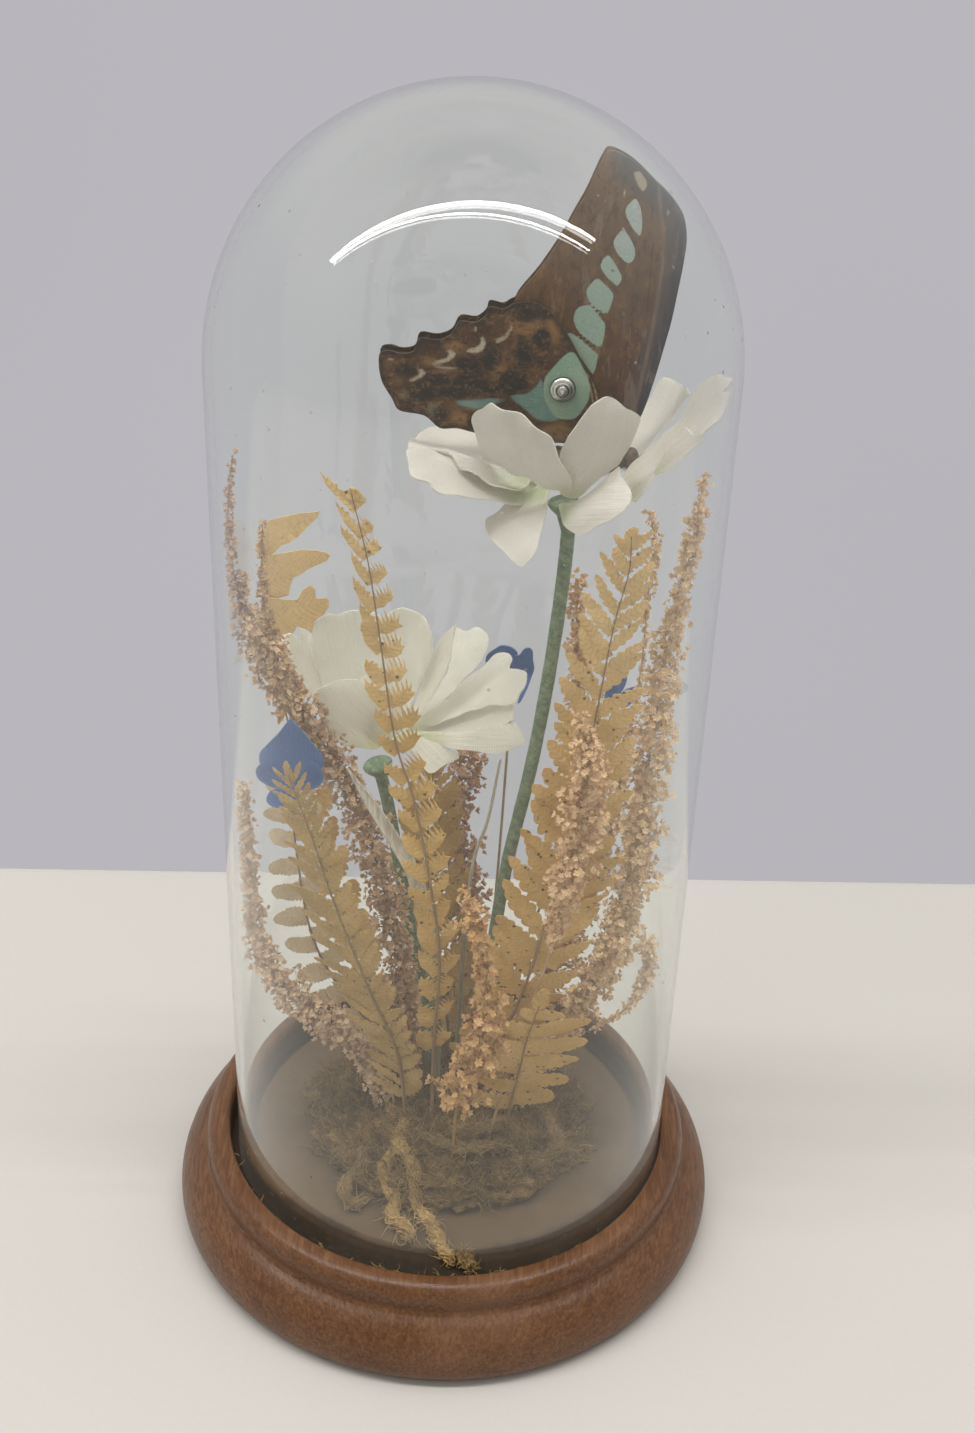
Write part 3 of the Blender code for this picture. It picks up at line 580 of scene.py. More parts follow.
# outlines and marks are places across and up; dark, rust and olive are ovals, as middle and half sizes
wings = {
    "foot": 160.9,
    "lean": 1.6,
    "spacing": 0.66,
    "thickness": 0.3,
    "cell": 0.55,
    "forewing": [(6.7, 183.9), (10.3, 189), (13.1, 193.5), (15, 197.4), (16.7, 200.8), (18.6, 205.6),
        (19.8, 206.8), (23.2, 205.3), (26.8, 202.3), (29.5, 200), (31.1, 197.8), (31.9, 194.5), (31.8, 190.5),
        (31.4, 186.3), (30.9, 181.8), (30.1, 177.3), (29, 171.8), (27.6, 166.4), (25.9, 162.8), (23.8, 161.1),
        (21.4, 160.9), (18.6, 163), (13, 172.5), (8.4, 180.4)],
    "hindwing": [(9.8, 184), (12.3, 182.5), (14.4, 180), (16.3, 177.1), (19, 172.3), (21, 168.3), (21.3, 164.8),
        (20.4, 162.4), (17.6, 161.4), (14, 161.2), (9.4, 161.3), (5.3, 161.8), (1.3, 162.5), (-1.6, 163.2),
        (-4.3, 163.1), (-6.8, 165.1), (-10.7, 165.8), (-11.9, 167.8), (-13.6, 171), (-13.9, 175),
        (-12.4, 175.8), (-10.5, 175.4), (-8.5, 175.9), (-7.7, 178), (-5, 177.8), (-2.8, 178.7), (-1.6, 180.8),
        (0.9, 180.7), (2.4, 181.9), (2.9, 183.2), (5, 182.9), (6.7, 183.8)],
    "foreVeins": [[(25.6, 200.8), (23.6, 203.2), (21.6, 205.8)], [(25.3, 197.8), (22.9, 202), (19.8, 206.4)],
        [(25.4, 193.6), (22.6, 197), (17.9, 203.6)], [(23.9, 189.5), (20.5, 192.7), (15.8, 198.8)],
        [(22.3, 185.9), (19.1, 188.9), (13.6, 194.4)], [(21.3, 181.9), (17.4, 184.3), (11, 190)],
        [(20.4, 176.4), (15.6, 179.4), (8.2, 185.8)], [(26.4, 199.6), (27.2, 190), (26.6, 176), (24.6, 163)],
        [(30.6, 197.6), (30.4, 189), (29.4, 178), (26.6, 164)],
        [(25.8, 194), (25.6, 186), (24, 176), (22.8, 163)]],
    "paleVein": [(27.3, 200.5), (28.4, 195), (28.6, 190), (28.4, 184), (27.6, 176), (26.2, 166)],
    "hindVeins": [[(13, 170), (9.6, 176.6), (4.4, 183)], [(12.4, 169.4), (6.6, 175.6), (-0.2, 181)],
        [(11.8, 168.6), (4.6, 172.8), (-4.4, 178)], [(11.4, 167.8), (3.4, 170.6), (-8, 176.2)],
        [(11, 167), (1, 168.6), (-13, 175.2)], [(11, 166), (0, 166), (-12.6, 169.6)],
        [(11.4, 165), (2, 163.8), (-7.6, 165.6)], [(13.4, 171.2), (12.6, 176.8), (10.2, 183.6)]],
    "spots": [
        [(23.6, 200.2), (24.2, 200.1), (24.9, 198.6), (25.3, 196.8), (25.2, 194.3), (23.8, 195.3),
         (22.3, 197.9), (22.7, 199.3)],
        [(22.4, 195.6), (23.2, 194.9), (24.5, 192.8), (24.6, 191), (23.8, 190.1), (22.9, 190.4), (21.4, 192),
         (20.9, 193.5), (21.4, 194.6)],
        [(20.3, 191.6), (21.1, 191.1), (22.5, 189.1), (23, 187.9), (22.4, 186.5), (21.7, 186.8), (20.2, 188.1),
         (19.2, 189.6), (19.6, 190.9)],
        [(18.9, 188), (19.6, 187.7), (21.5, 186), (21.9, 184.9), (21.1, 182.2), (20.3, 182.3), (18.4, 183.5),
         (17.4, 185.2), (17.6, 186.5)],
        [(16.6, 183.5), (18.3, 183.6), (20.4, 181.5), (21, 180.3), (20.6, 177.1), (19.8, 177), (16.9, 179),
         (15.7, 181), (15.9, 182.8)],
        [(14.8, 179.3), (15.4, 179.4), (17, 178.5), (19.9, 176.2), (20.1, 175.2), (19.5, 172.4), (17.5, 174.8),
         (15.6, 177.1), (14.7, 178.4)]],
    "creamFore": [[(23.1, 203.8), (24, 204), (25.3, 202.3), (24.6, 201.2)],
        [(28.7, 198.7), (29.1, 198.6), (29.1, 197.6), (28.7, 197.7)],
        [(18.2, 200.6), (18.6, 200.5), (18.6, 200.1), (18.2, 200.1)],
        [(19.3, 199.8), (19.7, 199.7), (19.7, 199.3), (19.3, 199.3)],
        [(21.9, 201.2), (22.2, 201.3), (22.5, 200.2), (22.2, 200)]],
    "green": [[(15.6, 176.4), (16.4, 176.1), (17.2, 174.9), (18.4, 172.8), (19.1, 170.7), (19, 169),
         (18.5, 167.7), (17.2, 165.7), (15.8, 165.3), (14, 165.6), (12.7, 167.1), (11.9, 168.9), (11.8, 171.7),
         (12.5, 173), (13.8, 174.7), (14.7, 175.7)]],
    "teal": [
        [(9.2, 169.4), (10.6, 170.6), (11.5, 171.8), (12, 168.7), (12.8, 167.1), (14.8, 165.6), (13.4, 164.9),
         (11.2, 165), (9.4, 166.4), (7.6, 167.9), (6.6, 168.8), (7.7, 169.2)],
        [(-1.9, 167.4), (-1.4, 167.9), (1.4, 168.2), (3.8, 168.5), (5.9, 168.2), (3.8, 167.4), (2.6, 166.8),
         (1.3, 166.6), (-0.1, 166.9)]],
    "creamHind": [
        [(6.1, 180.9), (6.5, 179.9), (5.6, 178.3), (4.4, 177.5), (3.8, 178.1), (5.2, 178.7), (5.9, 179.7)],
        [(0.6, 180.1), (1, 180), (1.2, 179.1), (0.8, 179.2)],
        [(1.5, 178.8), (2.6, 177.8), (1.8, 176), (-0.4, 175.9), (-0.3, 176.5), (1.2, 176.9), (1.7, 177.8)],
        [(-3.9, 176.6), (-2, 175.7), (-3, 174.4), (-5.5, 173.7), (-5.4, 174.3), (-3.6, 174.9), (-3.2, 175.6)],
        [(-8.5, 173.5), (-6.6, 172.5), (-7.6, 171.3), (-9.2, 170.6), (-9.1, 171.2), (-7.9, 171.9),
         (-7.8, 172.5)],
        [(-5.5, 173.3), (-3.4, 173), (-1.2, 173.4), (-3.4, 173.4)],
        [(-12.6, 174.5), (-11.7, 174.5), (-11.8, 174.1), (-12.6, 174.1)]],
    "dark": [(11.1, 178.5, 1.3, 1.5), (8.2, 175.6, 1.2, 2.2), (6.8, 171, 2.6, 2), (-0.6, 173.9, 1.7, 1),
        (-4.3, 171.2, 2.2, 1.2), (-0.1, 171, 2.6, 1.1), (-7.4, 168.9, 1.9, 1.3), (-1.9, 169.3, 2.6, 0.9),
        (3.6, 175, 1.3, 1.6), (8.8, 182, 1.6, 0.7), (3.4, 169.9, 1.8, 0.9), (-10.4, 172.8, 1.3, 0.9),
        (-4.2, 165, 0.9, 1.3), (0.9, 164.4, 0.9, 1.4), (-9, 166.9, 1.2, 0.8)],
    "rust": [(8.6, 180.6, 2.6, 1.7), (-1.2, 164.8, 1.1, 1.5), (4.8, 173, 0.9, 2.4), (12.8, 180, 1.2, 2),
        (-2.4, 177, 1.4, 0.9), (14.2, 163, 2.4, 1.6), (-6.2, 174.4, 1, 0.8)],
    "olive": [(-5.5, 166, 1, 1.4), (-9.9, 168.6, 0.9, 0.7)],
    "striped": [(17.6, 173.8), (19.6, 171.9), (20.6, 169.4), (20.8, 166), (19.2, 166), (19.3, 169),
        (18.6, 172)],
}


def lineGap(points, line):  # distance to a line of places
    line = np.array(line, float)
    gap = np.full(len(points), 1e9)
    for a, b in zip(line, line[1:]):
        edge = b - a
        share = np.clip((points - a) @ edge / (edge @ edge), 0, 1)
        gap = np.minimum(gap, np.linalg.norm(points - a - share[:, None] * edge, axis=1))
    return gap


def sideOf(points, corners):  # distance to an outline, below zero inside it
    corners = np.array(corners, float)
    inside = np.zeros(len(points), bool)
    for a, b in zip(corners, np.roll(corners, -1, axis=0)):
        edge = b - a
        between = (a[1] > points[:, 1]) != (b[1] > points[:, 1])
        inside ^= between & (points[:, 0] < edge[0] * (points[:, 1] - a[1]) / (edge[1] + 1e-12) + a[0])
    gap = lineGap(points, [*corners, corners[0]])
    return np.where(inside, -gap, gap)


def cutIntoCells(bm, outline, cell, up, spare=0.0, unit=1.0):  # cuts a flat face along even lines, across and up
    for way, values in ((Vector((1, 0, 0)), [x for x, y in outline]), (Vector(up), [y for x, y in outline])):
        at = min(values) + cell
        while at < max(values) - spare:
            bmesh.ops.bisect_plane(bm, geom=bm.verts[:] + bm.edges[:] + bm.faces[:], dist=1e-4 * unit,
                                   plane_co=way * at * unit, plane_no=way)
            at += cell


def nearest(points, outlines):
    return np.min([sideOf(points, softEdged(corners)) for corners in outlines], axis=0)


def ovals(points, spots):
    return np.min([(np.hypot((points[:, 0] - x) / a, (points[:, 1] - z) / b) - 1) * min(a, b)
                   for x, z, a, b in spots], axis=0)


def waveAt(x, z):  # how far the dried wings are bent from flat, alike in all four, so they stay apart
    return 0.45 * math.sin((x - 4) / 9.0) + 0.35 * math.sin(z / 7.5 + x / 16.0) + 0.12 * math.sin(x / 2.7 - z / 5.0)


def wingFace(x, z, offset, side):
    return side * (offset + (z - wings["foot"]) * math.tan(math.radians(wings["lean"]))) + waveAt(x, z)


def paintWing(kind):
    paint = Paint(kind + "_scales")
    where = paint.place()
    x, z = paint.axis(where, 0), paint.axis(where, 2)
    scales = paint.clouds(where, 5200.0, 2.0)
    mottle = paint.clouds(where, 900.0, 4.0, 0.65)
    cloud = paint.clouds(where, 240.0, 3.0)
    wobble = (mottle - 0.5) * 0.9
    fine = (scales - 0.5) * 0.5
    edge = (paint.value("veins") + fine * 0.2).below(0.02, 0.26)
    if kind == "forewing":
        costa = paint.value("costa")
        pale = (paint.value("paleVein") + fine * 0.3).below(0.10, 0.5)
        gold = paint.clouds(paint.scaled(where, (620, 620, 300), (0, -0.5, 0)), 1.0, 6.0, 0.75)
        rubbed = paint.clouds(paint.scaled(where, (420, 420, 90), (0, -0.5, 0)), 1.0, 5.0, 0.7)
        colour = paint.over(
            paint.ramp(cloud * 0.6 + mottle * 0.4, [(0.3, (0.064, 0.026, 0.008)), (0.7, (0.152, 0.068, 0.021))]),
            (z.spread(0.178, 0.206) * 0.55, (0.27, 0.175, 0.11)),
            (gold.spread(0.52, 0.62) * 0.45, (0.26, 0.142, 0.042)),
            (gold.spread(0.47, 0.37) * 0.6, (0.040, 0.020, 0.009)),
            ((costa + wobble * 0.6).below(2.6, 3.8) * 0.72, (0.066, 0.059, 0.060)),
            ((costa + wobble * 0.5).below(0.6, 2.4) * 0.8, (0.030, 0.030, 0.035)),
            (edge * 0.6, (0.032, 0.019, 0.013)),
            (pale * 0.5, (0.30, 0.19, 0.12)),
            (rubbed.spread(0.56, 0.66) * 0.4, (0.32, 0.225, 0.16)))
        blue = paint.over(
            paint.mix(z.spread(0.181, 0.202), (0.31, 0.42, 0.32), (0.55, 0.63, 0.63)),
            (cloud.spread(0.35, 0.7) * 0.35, (0.27, 0.41, 0.42)),
            (mottle.spread(0.52, 0.68) * 0.3, (0.42, 0.47, 0.60)))
        spots = (paint.value("spots") + fine * 0.25 + wobble * 0.14).below(-0.30, -0.10) * (1.0 - edge * 0.75)
        cream = (paint.value("cream") + fine * 0.2).below(-0.12, 0.12)
    else:
        rust = (paint.value("rust") + wobble * 0.9).below(-0.5, 0.7)
        olive = (paint.value("olive") + wobble * 0.6).below(-0.4, 0.4)
        dark = (paint.value("dark") + wobble * 1.5 + (cloud - 0.5) * 1.6).below(-0.35, 0.75)
        rim = (paint.value("margin") + wobble * 0.6).below(0.3, 1.3)
        stripes = (x * 9000.0 + z * 2500.0 + wobble * 2.0).sine().spread(-0.2, 0.6)
        striped = (paint.value("striped") + fine * 0.3).below(-0.2, 0.1)
        freckles = paint.clouds(paint.scaled(where, (420, 900, 900), (0, 0.35, 0)), 1.0, 5.0, 0.72)
        grit = paint.clouds(where, 1500.0, 3.0, 0.65)
        teal = (paint.value("teal") + fine * 0.3 + wobble * 0.3).below(-0.3, 0.25)
        colour = paint.over(
            paint.ramp(cloud + wobble * 0.45, [(0.25, (0.036, 0.015, 0.006)), (0.52, (0.105, 0.048, 0.017)),
                                               (0.85, (0.235, 0.125, 0.052))]),
            (rust * 0.62, (0.34, 0.175, 0.060)),
            (olive * 0.8, (0.20, 0.17, 0.10)),
            (dark * 0.92, (0.014, 0.010, 0.010)),
            (rim * 0.75, (0.028, 0.018, 0.014)),
            (edge * 0.5, (0.035, 0.021, 0.015)),
            (striped * 0.8, paint.mix(stripes, (0.10, 0.055, 0.03), (0.42, 0.30, 0.14))),
            (freckles.spread(0.53, 0.64) * 0.7, (0.016, 0.010, 0.008)),
            (freckles.spread(0.44, 0.35) * 0.42, (0.32, 0.185, 0.085)),
            (grit.spread(0.56, 0.66) * 0.35, (0.30, 0.18, 0.09)),
            (grit.spread(0.44, 0.34) * 0.5, (0.014, 0.009, 0.008)),
            (teal * 0.9, paint.mix(mottle, (0.13, 0.29, 0.28), (0.28, 0.43, 0.38))))
        blue = paint.mix(cloud.spread(0.3, 0.7), (0.27, 0.43, 0.33), (0.38, 0.50, 0.38))
        spots = (paint.value("spots") + fine * 0.25 + wobble * 0.15).below(-0.15, 0.12)
        cream = (paint.value("cream") + fine * 0.5 + wobble * 0.3).below(-0.30, 0.16)
    dust = paint.cells(where, 1400.0).below(0.06, 0.10) * cloud.spread(0.5, 0.62)
    colour = paint.over(colour, (spots, blue), (cream * 0.85, (0.58, 0.50, 0.37)),
                        (scales.spread(0.25, 0.75) * 0.28, (0.012, 0.009, 0.008)), (dust * 0.5, (0.62, 0.58, 0.52)))
    return paint.set(colour=colour, rough=0.52 + scales * 0.18, sheen=0.12, specular=0.35,
                     normal=paint.bump(edge * 0.9 + scales * 0.2 + mottle * 0.4, 0.00010, 0.55))


def wingMarks(kind, points, outline):  # how far each point is from the rim, the veins and every mark
    marks = {"margin": -sideOf(points, outline)}
    if kind == "forewing":
        areas = {"spots": wings["spots"], "cream": wings["creamFore"]}
        marks["costa"] = lineGap(points, wings["forewing"][7:18])
        marks["paleVein"] = lineGap(points, wings["paleVein"])
    else:
        areas = {"spots": wings["green"], "teal": wings["teal"], "cream": wings["creamHind"],
                 "striped": [wings["striped"]]}
        marks.update((mark, ovals(points, wings[mark])) for mark in ("dark", "rust", "olive"))
    marks.update((mark, nearest(points, outlines)) for mark, outlines in areas.items())
    marks["veins"] = np.min([lineGap(points, line) for line in wings[kind[:4] + "Veins"]], axis=0)
    return marks


def makeWing(name, kind, offset, side, look):
    outline = softEdged(wings[kind], 4)
    bm = bmesh.new()
    bm.faces.new([bm.verts.new(spot(x, 0, z)) for x, z in outline])
    cutIntoCells(bm, outline, wings["cell"] if side < 0 else wings["cell"] * 2, (0, 0, 1), unit=mm)
    points = np.array([(vert.co.x / mm, vert.co.z / mm) for vert in bm.verts])
    for vert in bm.verts:
        vert.co.y = wingFace(vert.co.x / mm, vert.co.z / mm, offset, side) * mm
    bm.normal_update()
    if side * sum(face.normal.y * face.calc_area() for face in bm.faces) < 0:
        bmesh.ops.reverse_faces(bm, faces=bm.faces)
    made = addPiece(name, bm, look, [name.replace("butterfly_", "")])
    for mark, values in wingMarks(kind, points, outline).items():
        keepValues(made.data, mark, values)
    wall(made, wings["thickness"])


def makeWings():
    looks = {kind: paintWing(kind) for kind in ("forewing", "hindwing")}
    for label, side in (("near", -1), ("far", 1)):
        for kind, offset in (("forewing", wings["spacing"] / 2), ("hindwing", wings["spacing"] * 1.5)):
            makeWing(f"butterfly_{label}_{kind}", kind, offset, side, looks[kind])


makeWings()
print("wings done")


# pin through the near hindwing

pin = {
    "middle": (14.75, 170.35),
    "standsOff": 0.12,
    "profile": [(0, 1.42), (0.35, 1.4), (0.7, 1.3), (0.88, 1.12), (0.95, 0.92), (1.05, 0.86), (1.25, 0.9),
        (1.5, 0.86), (1.8, 0.66), (2.02, 0.36), (2.1, 0.1), (2.06, 0), (1.4, -0.05), (0, -0.05)],
    "steps": 64,
}


def paintPin():
    paint = Paint("polished_pin")
    where = paint.place()
    smear = paint.clouds(where, 700.0, 3.0)
    x, z = paint.axis(where, 0) * 1000 - pin["middle"][0], paint.axis(where, 2) * 1000 - pin["middle"][1]
    # painted reflection: the polished head darkens towards its lower right, as if it mirrored a darker room there
    paintedReflection = (x * 0.7 - z * 0.7 + smear * 0.6).spread(-0.3, 1.2)
    radius = (x * x + z * z) ** 0.5
    # painted shade in the groove round the raised middle and at the rim
    stepShade = (radius - 0.95).size().below(0.10, 0.24).most((radius - 2.0).spread(-0.1, 0.05))
    colour = paint.over((0.92, 0.92, 0.90), (paintedReflection * 0.85, (0.13, 0.14, 0.13)), (stepShade * 0.8, (0.06, 0.055, 0.05)))
    return paint.set(colour=colour, metal=1.0, rough=0.10 + smear * 0.12, normal=paint.bump(smear, 0.00001, 0.3))


def makePin():
    bm = turnedBody(rounded(pin["profile"][:-2], 28) + pin["profile"][-2:], pin["steps"])
    x, z = pin["middle"]
    face = wingFace(x, z, wings["spacing"] * 1.5 + wings["thickness"] / 2 + pin["standsOff"], -1)
    turn = Matrix.Rotation(math.radians(90 + wings["lean"]), 4, "X")
    bmesh.ops.transform(bm, matrix=Matrix.Translation(spot(x, face, z)) @ turn, verts=bm.verts)
    addPiece("wing_pin_head", bm, paintPin(), ["wing_pin"])


makePin()


# the body, with its legs

body = {
    # place along the body, height of its middle there, radius
    "rings": [(28, 158.6, 0.15), (27.4, 158.6, 1.1), (26.7, 158.6, 1.5), (25.9, 158.5, 1.35), (25.3, 158.4, 1),
        (24.4, 158.4, 1.6), (23.2, 158.4, 1.85), (20.6, 158.4, 1.95), (19.2, 158.3, 1.6), (18.2, 158.2, 1.25),
        (16.6, 158.2, 1.5), (15, 158.2, 1.52), (13.2, 158.3, 1.45), (11.6, 158.4, 1.32), (10.2, 158.6, 1.15),
        (8.8, 158.8, 0.92), (7.6, 159.1, 0.6), (7, 159.2, 0.12)],
    "legs": [[(24, -1, 157.2), (24.6, -2.2, 157), (24, -2.3, 155.8)],
        [(21.6, -1.2, 157.2), (21.6, -2.2, 157), (20.8, -2, 155.6)],
        [(19.2, -1, 157.3), (16.2, -2.8, 158.4), (15.9, -3.4, 154.9)]],
    "legRadii": [0.34, 0.32, 0.28, 0.24, 0.2, 0.16, 0.1],
    "hairs": 1400,
    "hairRadii": [0.035, 0.025, 0.006],
    "thoraxFrom": 18,
}


def paintBody():
    paint = Paint("furry_body")
    where = paint.place()
    fur = paint.clouds(where, 1600.0, 4.0, 0.65)
    return paint.set(colour=paint.ramp(fur, [(0.3, (0.026, 0.017, 0.011)), (0.7, (0.140, 0.095, 0.060))]),
                     rough=0.75, sheen=0.3, normal=paint.bump(fur, 0.00012, 0.7))


def makeBody():
    draw = random.Random(21)
    line = smoothPath([(x, z, r) for x, z, r in body["rings"]], 60)
    heights = {round(p.x, 3): p.y for p in line}
    bm = bmesh.new()
    verts = [bm.verts.new((p.x * mm, 0, p.z * mm)) for p in line]
    edges = [bm.edges.new(pair) for pair in zip(verts, verts[1:])]
    bmesh.ops.spin(bm, geom=verts + edges, cent=(0, 0, 0), axis=(1, 0, 0), angle=2 * math.pi, steps=28,
                   use_merge=True)
    for vert in bm.verts:
        ring = 1 + 0.035 * math.sin(vert.co.x / mm * 4.4)
        vert.co.y *= ring
        ring *= 1.35 if vert.co.z > 0 else 1.0  # the fur stands higher along the back
        vert.co.z = vert.co.z * ring + heights[min(heights, key=lambda x: abs(x - vert.co.x / mm))] * mm
    closeHoles(bm)
    legs = [smoothPath([(x, y * side, z) for x, y, z in leg], len(body["legRadii"]))
            for side in (1, -1) for leg in body["legs"]]
    addTubes(bm, [(leg, body["legRadii"]) for leg in legs], 6)
    hairs = []
    for _ in range(body["hairs"]):
        place = line[draw.randrange(2, len(line) - 2)]
        turn = draw.uniform(0, 2 * math.pi)
        out = Vector((draw.uniform(-0.9, 0.1), math.cos(turn), math.sin(turn)))
        if abs(out.y) < 0.45 and out.z > 0:  # no hairs where the wings stand
            continue
        start = Vector((place.x, 0, place.y)) + Vector((0, out.y, out.z)) * place.z * 0.94
        reach = draw.uniform(0.3, 0.75) * (1.25 if place.x > body["thoraxFrom"] else 0.6)
        tip = start + out * reach + Vector((-0.2, 0, -0.1)) * reach
        hairs.append(([start, start + out * reach * 0.6, tip], body["hairRadii"]))
    addTubes(bm, hairs, 4)
    addPiece("furry_body", bm, paintBody(), ["butterfly_body"])


makeBody()
print("pin and body done")


# where the moss is, for the feet of the stems

mossTree = BVHTree.FromObject(nodes["moss_mound"], bpy.context.evaluated_depsgraph_get())
floorHeight = base["floor"]


def onMoss(x, y, above=0.3):
    place = mossTree.ray_cast(spot(x, y, 100), Vector((0, 0, -1)))[0]
    return (x, y, (place.z / mm if place else floorHeight) + above)


# sheets cut from an outline: petals and leaflets

def flatCells(outline, cell):  # an outline cut into cells: its points, and its faces as numbers of points
    bm = bmesh.new()
    bm.faces.new([bm.verts.new((x, y, 0)) for x, y in outline])
    cutIntoCells(bm, outline, cell, (0, 1, 0), spare=cell * 0.2)
    bm.verts.index_update()
    points = [(vert.co.x, vert.co.y) for vert in bm.verts]
    faces = [[vert.index for vert in face.verts] for face in bm.faces]
    bm.free()
    return points, faces


def addSheet(bm, cells, where):  # where turns a point of the flat sheet into a place, in millimetres
    points, faces = cells
    made = [bm.verts.new(where(x, y) * mm) for x, y in points]
    sides = [bm.faces.new([made[i] for i in face]) for face in faces]
    return made, sides


# cloth flowers

